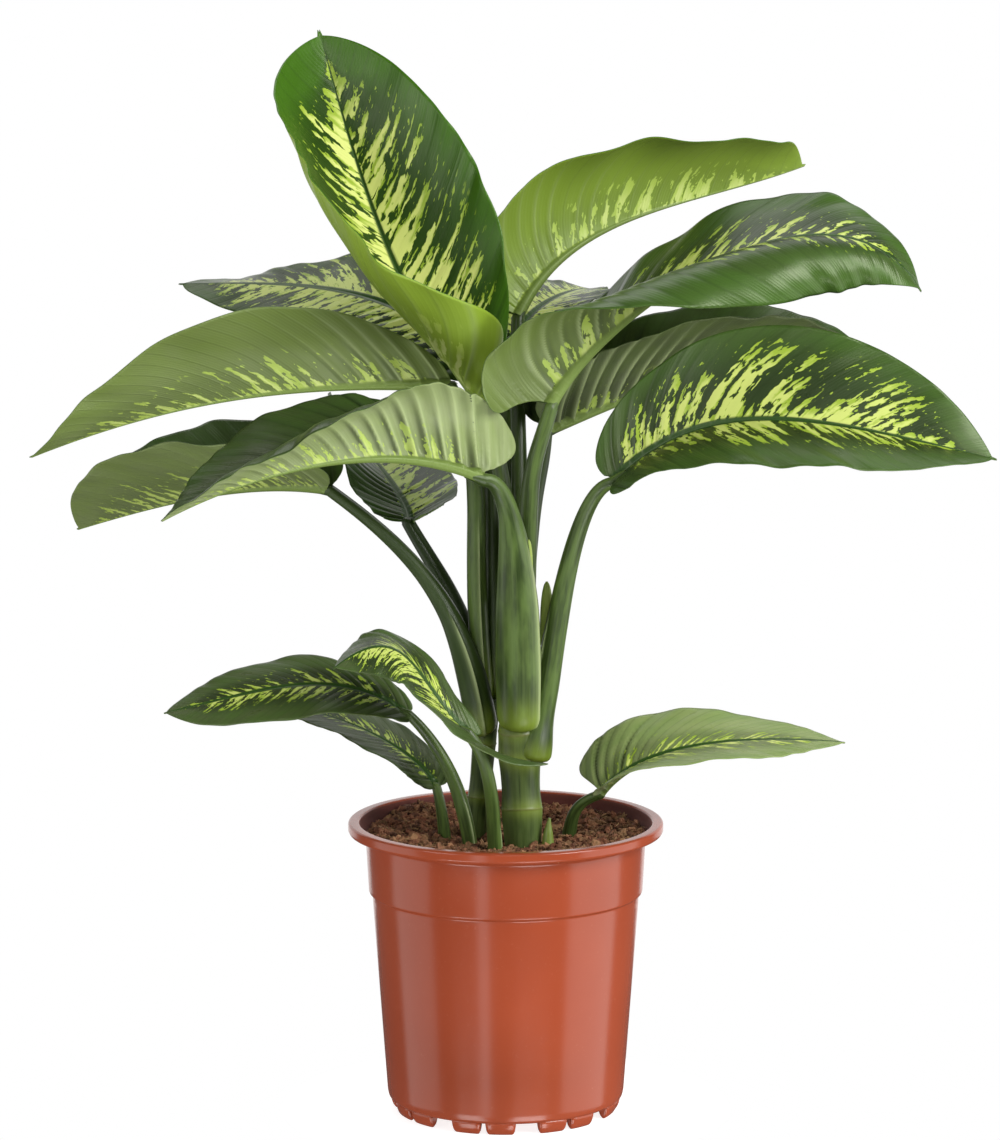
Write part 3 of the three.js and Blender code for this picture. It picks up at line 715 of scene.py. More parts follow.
# %% Looks of the leaves
LOOKS = {
    # reach of the pale patches in the left and the right half, how closed and how creamy they are, how light
    # the leaf is above and below, how fresh its green is, the height in millimetres of the quilting between
    # the side veins, and how far the veins sweep forward on their way to the margin
    "crown": (0.6, 0.72, 0.2, 1.0, 0.35, 1.0, 0.95, 0.8, 0.16),
    "top_right": (0.34, 0.32, -0.4, 0.7, 0.2, 0.58, 0.9, 0.9, 0.05),
    "upper_right": (0.6, 0.34, -0.1, 0.7, 0.2, 0.32, 0.35, 1.7, 0.08),
    "mid_right": (0.25, 0.25, -0.3, 0.3, 0.1, 0.12, 0.0, 4.2, 0.05),
    "front_right": (0.72, 0.5, 0.1, 0.7, 0.2, 0.3, 0.25, 0.9, 0.1),
    "upper_left": (0.42, 0.48, -0.45, 0.7, 0.2, 0.44, 0.3, 1.1, 0.14),
    "front_left": (0.34, 0.36, -0.5, 0.6, 0.1, 0.8, 0.0, 4.2, 0.08),
    "mid_left": (0.45, 0.45, -0.45, 0.5, 0.15, 0.42, 0.15, 0.9, 0.12),
    "top_left": (0.9, 0.9, 0.2, 0.7, 0.2, 0.5, 0.3, 1.2, 0.05),
    "back_left": (0.1, 0.9, 0.2, 0.4, 0.05, 0.3, 0.2, 1.4, 0.05),
    "back_right": (0.9, 0.9, 0.3, 0.7, 0.2, 0.4, 0.3, 0.8, 0.05),
    "low_left": (0.5, 0.45, -0.1, 0.7, 0.22, 0.4, 0.0, 1.1, 0.12),
    "lowest_left": (0.4, 0.4, -0.3, 0.6, 0.25, 0.3, 0.0, 0.9, 0.1),
    "low_front": (0.85, 0.55, 0.3, 0.6, 0.2, 0.6, 0.0, 0.8, 0.25),
    "low_right": (0.36, 0.5, -0.3, 0.9, 1.0, 0.7, 0.0, 1.6, 0.15),
}
# half the blade's thickness at the midrib and the margin, and the midrib's radius at the tip, in millimetres
AT_RIB, AT_MARGIN, AT_TIP = 0.55, 0.25, 0.25
# where the grid begins and ends, just short of the blade's two ends, which have no width
FIRST, LAST = 0.006, 0.99
# rows along a large and a small blade, and columns in each half
LARGE, SMALL = (240, 44), (120, 24)
# the grid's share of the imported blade's width, which keeps the relief of the margin inside the box
INSET = 0.995
print("looks:", len(LOOKS))


# %% Relief of a blade
def vein_lines(leaf, s, t, sweep):
    """The number of the vein line through each point: s, less what the lobe and the sweep take from it.

    A line sweeps forward on its way to the margin. In the lobes at the foot it falls below 0.
    """
    a = np.abs(t)
    lobe = np.where(t > 0, leaf["lobes"][1], leaf["lobes"][0]) * (s / 0.05) * np.exp(1 - s / 0.05) * a * a
    return s - lobe - 4 * sweep * a * s * (1 - s), lobe


def blade_relief(leaf, seed, s, t, run, lobe, height):
    """How far the blade is lifted, and the painted shading of its creases above and below.

    Between two veins it swells by strength (sin(pi near) - 0.6), with near the distance from a vein, counted
    in veins. Its margin is uneven: three waves of random length and phase. Above, each vein is a line of
    painted shade. Below, each vein is a ridge of painted highlight, less than 0, with painted shade in the
    hollow on the side of the tip, more than 0.
    """
    a, right = np.abs(t), (t > 0).astype(int)
    turns = run * VEINS + 0.5 * right
    past = turns % 1 - 0.5
    uneven = np.random.default_rng(int(seed)).uniform(0.1, 1.4, (2, 4 * VEINS))
    uneven = uneven[right, np.floor(turns).astype(int) + VEINS]
    ends = ease(0, 0.02, s) * (1 - ease(0.85, 1, s)) * (1 - 0.88 * ease(0.12, 0.52, s))
    outward = ease(0.02, 0.12, a) * (1 - 0.9 * ease(0.25, 0.95, a) * ease(0, 0.3, s))
    in_lobe = ease(0, -0.04, run)
    strength = uneven * height * ends * outward * (1 - 0.5 * in_lobe)
    lift = strength * (np.sin(np.pi * np.abs(past)) - 0.6)
    wavy = 0.006 * leaf["half"] * ease(0.45, 1, a) * ease(0.01, 0.15, s) * (1 - ease(0.7, 0.95, s))
    for pace, start in np.random.default_rng(int(seed) + 1).uniform(0, 1, (3, 2, 2)):
        lift = lift + wavy * np.sin(2 * np.pi * ((4 + 9 * pace[right]) * run + start[right]))
    share = np.clip(strength / 2, 0, 1)
    width = mix(0.12, 0.2, ease(0, 0.08, lobe))
    # painted light: a line on each vein, and painted shade in the hollow towards the tip
    painted_vein_line = share * np.exp(-((past / width) ** 2)) * (1 - 0.7 * in_lobe)
    painted_hollow_shade = share * ease(0.02, 0.12, past) * (1 - ease(0.12, 0.5, past)) * (1 - ease(0.3, 0.8, a))
    return lift, painted_vein_line, painted_hollow_shade - painted_vein_line


def blade_faces(rows, columns):
    """The upper squares, the lower ones turned over, and a band round the edge that joins the two."""
    count = rows * columns
    top = grid_faces(rows, columns)
    bottom = grid_faces(rows, columns, first=count)[:, ::-1]
    j, i = np.arange(columns), np.arange(rows)
    edge = np.concatenate(
        [j, i[1:] * columns + columns - 1, (rows - 1) * columns + j[-2::-1], i[-2:0:-1] * columns]
    )
    after = np.roll(edge, -1)
    return [top, bottom, np.stack([edge, edge + count, after + count, after], -1)]


# %% Build the blades
def build_blade(name, leaf, seed):
    """A blade: its sheet, pushed out along the normal by half its thickness and by its relief."""
    left_reach, right_reach, fill, cream, light_above, light_below, fresh, height, sweep = LOOKS[name]
    rows, side = SMALL if leaf["small"] else LARGE
    even = np.linspace(0, 1, rows)
    s = mix(FIRST, LAST, 0.25 * even * (1 + even) + 0.25 * (1 - np.cos(np.pi * even)))[:, None]
    fine = np.linspace(-1, 1, 2 * side + 1)
    t = INSET * (np.sign(fine) * np.abs(fine) ** 1.4)[None, :]
    s, t = np.broadcast_arrays(s, t)
    run, lobe = vein_lines(leaf, s, t, sweep)
    # the painted shade and painted highlight of the creases, above and below
    lift, painted_crease_above, painted_crease_below = blade_relief(leaf, seed, s, t, run, lobe, height)
    # The midrib is a half-round rod below, as thick as the stalk at its foot and thin at the tip, and a
    # shallow groove above.
    girth = leaf["girth"][-1]
    from_rib = np.abs(t) * half_width(leaf, s, t > 0)
    rib = (girth - 0.3) * (1 - s) ** 2.3 + AT_TIP
    rod = 0.75 * rib * np.sqrt(np.maximum(1 - (from_rib / rib) ** 2, 0))
    groove = np.exp(-((from_rib / (0.75 * rib)) ** 2)) * np.minimum(1, 0.28 * rib)
    half = mix(AT_RIB, AT_MARGIN, t**4)
    points = sheet_points(leaf, s, t)
    normals = sheet_normals(points)
    above = points + normals * (half + lift - groove)[..., None]
    below = points - normals * (half - lift + rod)[..., None]
    faces = blade_faces(*t.shape)
    uv = np.stack([run, 0.5 + 0.5 * t], -1)
    marks = {
        "seed": seed,
        "reach": np.tile(np.where(t > 0, right_reach, left_reach).ravel(), 2),
        "fill": fill,
        "cream": cream,
        "lightness": np.repeat([light_above, light_below], t.size),
        "fresh": fresh,
        "rib": [
            1 - ease(0.75, 1.0, from_rib / (girth * (1 - s) ** 0.6)),
            1 - ease(0.85, 1.15, from_rib / (rib + 0.1)),
        ],
        # painted shade and painted highlight of the creases
        "painted_crease_shading": [painted_crease_above, painted_crease_below],
    }
    make_piece(
        f"{name}_blade", np.clip([above, below], *np.array(cad_box) / MM), faces, f"blade_{name}",
        [leaf_top, leaf_under], uv=[uv, uv], marks=marks,
        paint=np.repeat([0, 1, 0], [len(part) for part in faces]),
    )


for number, (name, leaf) in enumerate(LEAVES.items()):
    build_blade(name, leaf, 11.0 * number + 5.0)

# %% [markdown]
# ## Stalks and canes
# A stalk is a tube on its curve. At its foot it is a sheath, a leaf-like wrap whose pale free edge lies
# over the rest in one line. Higher up it closes and carries a shallow channel on its upper side, which runs
# on into the midrib. A bevelled curve would lose both, so the radius here changes with the angle as well.
# Its foot closes in where it leaves the cane, and its upper end sinks into the midrib. Two stalks carry a
# spur, the free tip of the sheath. The canes are tubes too, swollen and yellower at each node, where a
# fallen leaf has left its ring.


# %% Stem materials
STALK, CANE = 0, 1
STEM_COLOURS = {
    # of the stalks and of the canes, as a screen shows them
    # the deep green is also the colour of the painted shade on stalks in shadow
    "deep": ((42, 58, 22), (40, 56, 20)), "body": ((78, 100, 42), (74, 92, 42)),
    "streak": ((98, 116, 60), (98, 112, 62)), "young": ((150, 172, 52), (134, 152, 54)),
    "edge": ((176, 190, 136), (126, 138, 77)), "scar": ((100, 94, 58), (110, 106, 62)),
}


def stem_material(name, kind, roughness):
    """Stem skin: two greens by mottle and fibre, then painted shade, young, pale-edged and scarred parts."""
    material, tree, shader = new_material(name)
    colours = {key: rgb(*both[kind]) for key, both in STEM_COLOURS.items()}
    stem_map = add(tree, "ShaderNodeUVMap", {}, uv_map="UVMap")
    fibres = use_group(tree, stem_fibres, {"Stem map": stem_map, "Seed": mark(tree, "seed")})
    mottle = fibres["Mottle"]
    streak = times(tree, scale_range(tree, fibres["Fibre"], 0.35, 0.68), 0.28)
    body = blend(tree, scale_range(tree, mottle, 0.35, 0.65), colours["deep"], colours["body"])
    colour = blend(tree, streak, body, colours["streak"])
    # the deep mark paints shade over a whole stalk that stands in shadow
    for key in ("deep", "young", "edge", "scar"):
        colour = blend(tree, mark(tree, key), colour, colours[key])
    feed(tree, shader, {
        "Base Color": colour,
        "Roughness": scale_range(tree, mottle, 0.3, 0.7, roughness - 0.05, roughness + 0.08),
        "IOR": 1.42,
        "Normal": bump(tree, fibres["Fibre"], 0.0002, 0.5),
    })
    return material


stalk_skin = stem_material("stalk_skin", STALK, 0.36)
cane_skin = stem_material("cane_skin", CANE, 0.4)


# %% Tubes
def tube(centres, first_side, radii, turns):
    """Rings round a path: centre + radius (cos(turn) side + sin(turn) way x side).

    The way is the step from ring to ring, and the side is first_side with its part along the way removed.
    """
    way = unit(np.gradient(centres, axis=0))
    side = unit(first_side - dot(first_side, way) * way)
    other = np.cross(way, side)
    spokes = np.cos(turns)[..., None] * side[:, None] + np.sin(turns)[..., None] * other[:, None]
    return centres[:, None] + radii[..., None] * spokes


def tube_faces(rows, columns, first=0):
    """The squares of a closed tube and the two flat caps at its ends."""
    ring = np.arange(columns)
    caps = np.stack([ring[::-1], ring + (rows - 1) * columns]) + first
    return [grid_faces(rows, columns, closed=True, first=first), caps]


def tube_map(centres, turns):
    """The stem's map: metres along the path, and the share of a turn."""
    steps = np.linalg.norm(np.diff(centres, axis=0), axis=1)
    run = np.concatenate([[0], np.cumsum(steps)]) * MM
    return np.stack(np.broadcast_arrays(run[:, None], turns / (2 * np.pi)), -1).reshape(-1, 2)


def smooth_girth(girth, u):
    """The girths, evenly spaced along the stem, joined by straight lines that are then rounded off."""
    reach = np.array([-0.03, -0.015, 0, 0.015, 0.03])
    places = np.linspace(0, 1, len(girth))
    return np.interp(np.clip(u[:, None] + reach, 0, 1), places, girth).mean(axis=1)


# %% [markdown]
# The channel faces the plant's middle at the foot of a stalk and turns up with it as it bends out. With o
# the level direction in which the leaf goes, a stalk that heads a o + b z has that side at a z - b o.

# %% Build the stalks
SHEATHS = {
    # how far up the stalk its sheath reaches, and where its free edge is, in degrees from the channel
    "front_right": (0.5, 54), "upper_left": (0.5, -75), "front_left": (0.62, -62), "mid_left": (0.45, -60),
    "back_left": (0.45, -70), "low_left": (0.35, -60), "low_front": (0.35, -60), "top_left": (0.3, 0),
    "lowest_left": (0.2, 0), "low_right": (0.2, 0),
}
PLAIN_SHEATH = (0.25, 0)
# painted shade: how much darker the green of some stalks is, which stand in shadow
PAINTED_STALK_SHADE = {"mid_left": 0.8, "back_left": 1.0, "top_left": 0.6, "mid_right": 0.6, "top_right": 0.5}
# rings and corners of a spur
SPUR = 24


def stalk_path(leaf, rows, beyond):
    """The centres and radii of a stalk's rings, from its foot to a little way along the midrib.

    The foot closes in over the first 4.5 %: 0.55 + 0.45 sqrt(1 - (1 - u / 0.045)^2). Past the stalk's end the
    rings sink into the midrib. A stalk that hugs the cane is moved towards it and bulges at its foot.
    """
    u = np.linspace(0, 1, rows)
    past = np.linspace(0, 0.05, beyond + 1)[1:]
    sink = np.concatenate([np.zeros(rows), past / past[-1]])
    radii = np.concatenate([smooth_girth(leaf["girth"], u), np.full(beyond, leaf["girth"][-1])])
    stalk = curve_through([*leaf["stalk"], leaf["rib"][0]])
    centres = np.concatenate([curve_point(stalk, u), curve_point(curve_through(leaf["rib"]), past)])
    centres = centres - unit(np.array(leaf["face"], float)) * (0.35 * sink * radii)[:, None]
    radii = radii * (1 - 0.6 * sink)
    radii[:rows] *= 0.55 + 0.45 * np.sqrt(1 - (1 - np.minimum(u / 0.045, 1)) ** 2)
    if "hug" in leaf:
        centres[:rows] += np.array(leaf["hug"]) * (1 - ease(0.02, 0.3, u))[:, None]
        radii[:rows] *= 1 + 0.16 * np.exp(-(((u - 0.08) / 0.07) ** 2))
    return centres, radii, np.concatenate([u, 1 + past])[:, None]


def spur_tube(start, end, girth):
    """The free tip of a sheath: a flattened tube on a straight line that closes to a round point."""
    up = np.linspace(0, 1, SPUR)
    path = mix(np.array(start, float), np.array(end, float), up[:, None])
    radii = 1.15 * girth * np.sqrt(np.clip(1.02 - up**3, 0.004, 1))
    turns = np.broadcast_to(circle(SPUR), (SPUR, SPUR))
    flat = 1 - 0.35 * np.abs(np.cos(turns))
    return tube(path, np.array([[0, 1.0, 0]]), radii[:, None] * flat, turns), tube_map(path, turns)


def build_stalk(name, leaf, seed):
    """A stalk: a tube whose radius steps at the sheath's edge and dips at the channel.

    step = wrap (share of a turn - 0.5) 0.2 radius, where 0.2 radius is 1.8 mm at most, and
    dip = 0.3 exp(-(angle from the channel / 0.6)^2).
    """
    columns = 48
    centres, radii, height = stalk_path(leaf, rows=90, beyond=12)
    out = np.array(leaf["rib"][1], float) - leaf["stalk"][0]
    out = unit(out * [1, 1, 0])
    way = unit(np.gradient(centres, axis=0))
    side = dot(way, out) * np.array([0, 0, 1.0]) - way[:, 2:] * out
    up_to, edge_at = SHEATHS.get(name, PLAIN_SHEATH)
    # The last corners stand close together and short of a full turn, at the sheath's free edge.
    turns = np.concatenate([np.linspace(0, 0.985, columns - 1), [0.997]]) * 2 * np.pi
    turns = np.broadcast_to(turns + np.radians(edge_at), (len(radii), columns))
    share = (turns - np.radians(edge_at)) / (2 * np.pi)
    wrap = 1 - ease(up_to * 0.7, up_to, height)
    step = wrap * (share - 0.5) * np.minimum(0.2 * radii, 1.8)[:, None]
    away = np.abs((turns + np.pi) % (2 * np.pi) - np.pi)
    dip = 0.3 * ease(up_to, 1, height) * np.exp(-((away / 0.6) ** 2))
    foot = 1 - ease(0.0, 0.12, np.broadcast_to(height, turns.shape))
    points = [tube(centres, side, radii[:, None] * (1 - dip) + step, turns).reshape(-1, 3)]
    faces = tube_faces(len(radii), columns)
    maps = [tube_map(centres, turns)]
    young, edge = [0.45 * foot.ravel()], [0.8 * (np.exp(-(((1 - share) / 0.03) ** 2)) * wrap).ravel()]
    if "spur" in leaf:
        spur, spur_map = spur_tube(*leaf["spur"])
        points.append(spur.reshape(-1, 3))
        maps.append(spur_map)
        faces = faces + tube_faces(SPUR, SPUR, first=len(points[0]))
        young.append(np.full(SPUR * SPUR, 1.0))
        edge.append(np.full(SPUR * SPUR, 0.3))
    young, edge = np.concatenate(young), np.concatenate(edge)
    # deep is painted shade on stalks in shadow
    marks = {"seed": seed, "deep": PAINTED_STALK_SHADE.get(name, 0.0), "young": young, "edge": edge, "scar": 0.0}
    make_piece(
        f"{name}_stalk", np.concatenate(points), faces, f"stalk_{name}", [stalk_skin],
        uv=np.concatenate(maps), marks=marks,
    )


for number, (name, leaf) in enumerate(LEAVES.items()):
    build_stalk(name, leaf, 7.0 * number + 2.0)

# %% Build the canes and the young shoot
CANES = {
    "cane_main": dict(
        path=[[12, -18, 166], [10, -18, 222], [8, -17, 280], [8, -14, 340.6]],
        girth=[12, 12, 12.6, 13.6, 12.6, 13, 14, 13.4, 12, 11, 10.4, 10.2, 10, 10],
        nodes=[0.25, 0.45, 0.56, 0.8], young=0.0,
    ),
    "cane_back": dict(
        path=[[-21, 11, 166], [-18, 9, 203], [-15, 6, 240], [-12, 2, 277.6]],
        girth=[7, 7, 7.4, 8, 7.4, 7.6, 8, 8.2, 8], nodes=[0.4, 0.75], young=0.0,
    ),
    "shoot_young": dict(
        path=[[28, -26, 168], [28, -26, 180], [28, -26, 191], [29, -26, 203]],
        girth=[4.6, 4.6, 4.2, 3, 0.8], nodes=[], young=0.45,
    ),
}


def build_cane(name, cane, seed):
    """A cane: a tube with a small step and a pale, tilted ring at each node."""
    rows, columns = (300, 64) if cane["nodes"] else (60, 32)
    u = np.linspace(0, 1, rows)
    centres = curve_point(curve_through(cane["path"]), u)
    turns = np.broadcast_to(circle(columns), (rows, columns))
    ring, glow = np.zeros(turns.shape), np.zeros(turns.shape)
    for number, node in enumerate(cane["nodes"]):
        gap = u[:, None] - node - 0.012 * np.cos(turns + 1.7 * number)
        ring += np.exp(-((gap / 0.004) ** 2))
        glow += np.exp(-((gap / 0.035) ** 2)) * (0.5 + 0.5 * np.cos(turns - 0.6 + number))
    radii = smooth_girth(cane["girth"], u)[:, None] + 0.5 * glow + 0.35 * ring
    young, scar = np.clip(cane["young"] + 0.5 * glow, 0, 1), 0.5 * np.clip(ring, 0, 1)
    make_piece(
        f"{name}_skin", tube(centres, np.array([[0, -1.0, 0]]), radii, turns), tube_faces(rows, columns),
        name, [cane_skin], uv=tube_map(centres, turns),
        marks={"seed": seed, "deep": 0.0, "young": young, "edge": 0.0, "scar": scar},
    )


for number, (name, cane) in enumerate(CANES.items()):
    build_cane(name, cane, 40.0 + 9.0 * number)

# %% [markdown]
# ## The peat
# Potting peat is a loose bed of crumbs held together by brown fibres. A flat brown disc would look painted,
# and a physics drop of loose crumbs takes minutes. So the bed is a fine grid with the heights of the part's
# source, roughened by clods of four sizes, with painted shade in the gaps between them. The crumbs and fibres
# that stand out of it are small meshes, copied as whole arrays with their own size and turn.


# %% Peat material
def make_peat():
    """Crumbly brown peat: painted shade between the crumbs, lighter and redder on some of them."""
    material, tree, shader = new_material("peat")
    place = add(tree, "ShaderNodeTexCoord", {}, output="Object")
    coarse = noise(tree, place, 130.0, 4.0, 0.6)
    fine = noise(tree, place, 600.0, 4.0, 0.65)
    colour = blend(tree, scale_range(tree, coarse, 0.36, 0.66), rgb(58, 31, 20), rgb(134, 86, 64))
    colour = blend(tree, scale_range(tree, fine, 0.55, 0.72, 0.0, 0.5), colour, rgb(178, 134, 98))
    colour = blend(tree, mark(tree, "pale"), colour, rgb(186, 148, 104))
    feed(tree, shader, {
        # painted shade where the bed lies low between its clods
        "Base Color": blend(tree, mark(tree, "low"), colour, rgb(30, 19, 13)),
        "Roughness": scale_range(tree, fine, 0.3, 0.7, 0.82, 0.98),
        "Specular IOR Level": 0.25,
        "Normal": bump(tree, plus(tree, coarse, fine), 0.0012, 0.9),
    })
    return material


peat = make_peat()


# %% The bed
chance = np.random.default_rng(7)
# the inner radius of the pot at its lip, in millimetres
MOUTH = 97.5
# size in millimetres of the clods of each kind, and how high they stand
CLODS = [(10, 4.5), (5.5, 4.0), (2.8, 2.8), (1.4, 1.3)]
# radius and height of the part of the bed that the pot's wall hides
HIDDEN = np.array([[5, 10], [76.9, 10], [86.5, 145], [89.2, 153], [91.2, 180]])


def soil_height(x, y):
    """The level of the soil: a dip towards the stems, a heap at the back left and soft lumps."""
    r = np.hypot(x, y) / MOUTH
    heap = 6 * np.exp(-((x + 58) ** 2 + (y - 58) ** 2) / 500)
    lumps = 1.3 * np.sin(x / 7 + 1.2) * np.cos(y / 8) + 0.9 * np.sin(x / 4.2 - y / 5.3 + 0.6)
    return 187 - 5 * (1 - r * r) + 2 * r * r + heap + lumps * np.minimum(1, 3 * (1 - r) + 0.35)


def ground_noise(x, y, cell):
    """Heights between -0.5 and 0.5 that change over one cell: random at its corners, eased between them."""
    corners = chance.random((int(220 / cell) + 2,) * 2) - 0.5
    across, along = (x + 110) / cell, (y + 110) / cell
    i, j = np.floor(across).astype(int), np.floor(along).astype(int)
    p, q = ease(0, 1, across - i), ease(0, 1, along - j)
    return mix(mix(corners[i, j], corners[i + 1, j], p), mix(corners[i, j + 1], corners[i + 1, j + 1], p), q)


def round_axis(radius, columns):
    """A profile carried round the axis: x = radius cos(turn) and y = radius sin(turn)."""
    turns = circle(columns)
    return radius[:, None] * np.cos(turns), radius[:, None] * np.sin(turns)


def build_bed():
    """The bed: a drum of soil under the pot's wall, and on top rings from the wall to the middle."""
    columns, tops, hidden = 400, 150, len(HIDDEN)
    radius = np.concatenate([HIDDEN[:, 0], np.linspace(92.9, 2, tops)])
    x, y = round_axis(radius, columns)
    z = np.repeat(np.concatenate([HIDDEN[:, 1], np.zeros(tops)])[:, None], columns, axis=1)
    rough = sum(height * ground_noise(x[hidden:], y[hidden:], cell) for cell, height in CLODS)
    z[hidden:] = soil_height(x[hidden:], y[hidden:]) - 0.8 + rough
    # painted shade in the low places between the clods
    low = np.zeros(z.shape)
    low[hidden:] = ease(0.2, -2.6, rough)
    make_piece(
        "soil_bed", np.stack([x, y, z], -1), tube_faces(len(radius), columns), "soil", [peat],
        marks={"pale": 0.0, "low": low},
    )


build_bed()


# %% Crumbs
def unit_lump():
    """A round lump of 24 squares: the grid points of a cube, pushed out to a ball."""
    ticks = np.array([-1, 0, 1])
    grid = np.stack(np.meshgrid(ticks, ticks, ticks, indexing="ij"), -1).reshape(-1, 3)
    shell = grid[np.abs(grid).max(axis=1) == 1]
    number = {tuple(p): k for k, p in enumerate(shell)}
    squares = []
    for axis, sign, p, q in np.ndindex(3, 2, 2, 2):
        corners = []
        for dp, dq in ((0, 0), (1, 0), (1, 1), (0, 1)):
            corner = np.roll([2 * sign - 1, p - 1 + dp, q - 1 + dq], axis)
            corners.append(number[tuple(corner)])
        squares.append(corners if sign else corners[::-1])
    return unit(shell.astype(float)), np.array(squares)


def random_turns(count):
    """Random rotation matrices, from random quaternions w + xi + yj + zk of length one."""
    w, x, y, z = unit(chance.normal(size=(count, 4))).T
    rows = [
        [1 - 2 * (y * y + z * z), 2 * (x * y - z * w), 2 * (x * z + y * w)],
        [2 * (x * y + z * w), 1 - 2 * (x * x + z * z), 2 * (y * z - x * w)],
        [2 * (x * z - y * w), 2 * (y * z + x * w), 1 - 2 * (x * x + y * y)],
    ]
    return np.moveaxis(np.array(rows), -1, 0)


def scatter(count, reach):
    """Random places on the bed, even over it: reach sqrt(chance) from the axis, at a random angle."""
    spread = reach * np.sqrt(chance.random(count))
    angle = chance.random(count) * 2 * np.pi
    return spread * np.cos(angle), spread * np.sin(angle)


def copies(faces, points_each, count):
    """The faces of so many copies of a shape, whose points follow each other."""
    first = points_each * np.arange(count)[:, None, None]
    return (faces[None] + first).reshape(-1, faces.shape[1])


def build_crumbs(count):
    """Crumbs on the bed: turned, stretched and roughened copies of one lump."""
    ball, squares = unit_lump()
    x, y = scatter(count, 90)
    size = 0.5 + 2.4 * chance.random(count) ** 2.5
    centres = np.stack([x, y, soil_height(x, y) + chance.uniform(-0.6, 1.8, count)], -1)
    stretch = size[:, None] * chance.uniform(0.45, 1.6, (count, 3))
    rough = chance.uniform(0.6, 1.4, (count, len(ball), 1))
    bodies = ball * stretch[:, None] * rough @ random_turns(count).transpose(0, 2, 1)
    pale = np.repeat(0.45 * chance.random(count) ** 2, len(ball))
    make_piece(
        "soil_crumbs", centres[:, None] + bodies, [copies(squares, len(ball), count)], "soil",
        [peat], marks={"pale": pale, "low": 0.0}, smooth=False,
    )


build_crumbs(3600)


# %% Fibres
def build_fibres(count):
    """Coir fibres: thin three-sided strands of six rings, each bent on its own parabola over the bed."""
    rings, sides = 6, 3
    x, y = scatter(count, 88)
    heading = chance.random(count) * 2 * np.pi
    length = 3 + 14 * chance.random(count) ** 2
    ahead = np.stack([np.cos(heading), np.sin(heading), chance.uniform(-0.15, 0.25, count)], -1)
    beside = np.stack([-np.sin(heading), np.cos(heading), np.zeros(count)], -1)
    k = np.linspace(-0.5, 0.5, rings)[None, :, None]
    sway = (chance.uniform(-1, 1, count) * length)[:, None, None] * k * k
    arch = (chance.uniform(0.1, 0.7, count) * length)[:, None, None] * (0.12 - k * k)
    start = np.stack([x, y, soil_height(x, y) + 0.9], -1)[:, None]
    path = start + ahead[:, None] * length[:, None, None] * k + beside[:, None] * sway
    path = path + np.array([0, 0, 1.0]) * arch
    thick = chance.uniform(0.09, 0.26, count)[:, None, None] * (1.15 - 1.6 * k * k)
    turn = circle(sides)[None, :, None]
    spokes = np.cos(turn) * beside[:, None] + np.sin(turn) * np.cross(ahead, beside)[:, None]
    squares = grid_faces(rings, sides, closed=True)
    caps = np.array([[2, 1, 0], np.arange(3) + (rings - 1) * sides])
    pale = np.repeat(chance.random(count) ** 1.5, rings * sides)
    make_piece(
        "soil_fibres", path[:, :, None] + thick[..., None] * spokes[:, None],
        [copies(faces, rings * sides, count) for faces in (squares, caps)], "soil", [peat],
        marks={"pale": pale, "low": 0.0},
    )


build_fibres(2600)

# %% [markdown]
# ## The pot
# A nursery pot is moulded in one thin wall of glossy terracotta plastic: a straight taper, a step where the
# collar begins, and a lip that turns out. It is a lathe shape. The Screw modifier could turn it, but arrays
# give closed discs at the middle for nothing, so its profile goes round the axis once, with each corner
# rounded as a mould rounds it. Sixteen short feet in pairs stand it off the ground.


# %% Terracotta plastic
def make_plastic():
    """Glossy terracotta plastic with faint clouds and dust; inside the wall rougher, with painted shade."""
    material, tree, shader = new_material("terracotta_plastic")
    place = add(tree, "ShaderNodeTexCoord", {}, output="Object")
    clouds = scale_range(tree, noise(tree, place, 9.0, 3.0, 0.5), 0.3, 0.7)
    dust = noise(tree, place, 420.0, 3.0, 0.6)
    inside = mark(tree, "inside")
    colour = blend(tree, clouds, rgb(143, 62, 36), rgb(151, 68, 41))
    colour = blend(tree, scale_range(tree, dust, 0.62, 0.78, 0.0, 0.1), colour, rgb(204, 136, 108))
    stretched = add(tree, "ShaderNodeMapping", {"Vector": place, "Scale": (30, 30, 5)})
    feed(tree, shader, {
        # painted shade darkens the inside of the wall
        "Base Color": blend(tree, inside, colour, rgb(84, 34, 24)),
        "Roughness": line(tree, inside, 0.6, scale_range(tree, dust, 0.3, 0.7, 0.17, 0.22)),
        "IOR": 1.45,
        "Normal": bump(tree, noise(tree, stretched, 1.0, 2.0, 0.5), 0.0003, 0.15),
    })
    return material


plastic = make_plastic()


# %% The wall
def rounded(profile, radii, steps=5):
    """Each corner p of a profile becomes q^2 a + 2 q r p + r^2 b, from a on one side to b on the other."""
    middle = profile[1:-1]
    before = middle + unit(profile[:-2] - middle) * radii
    after = middle + unit(profile[2:] - middle) * radii
    r = np.linspace(0, 1, steps)[None, :, None]
    q = 1 - r
    arcs = q * q * before[:, None] + 2 * q * r * middle[:, None] + r * r * after[:, None]
    return np.concatenate([profile[:1], arcs.reshape(-1, 2), profile[-1:]])


WALL = np.array([
    # radius and height of each corner of the wall, and how far its rounding reaches
    (4, 8, 0), (76.4, 8, 0.8), (78.4, 9.6, 1.0), (79.2, 13, 1.6), (88.6, 141, 1.2), (88.9, 147.6, 1.0),
    (91.3, 148.8, 0.9), (91.5, 152, 0.8), (93.4, 186, 1.5), (98.6, 188.4, 1.5), (104.2, 189, 0.5),
    (105, 190.4, 0.6), (105, 194.9, 0.6), (103.9, 196, 0.7), (98.3, 196, 0.6), (97.5, 195.2, 0.5),
    (95.8, 191, 1.5), (91.7, 184, 1.5), (89.6, 153, 1.0), (86.9, 145, 1.0), (77.5, 9.7, 1.0), (4, 9.7, 0),
])


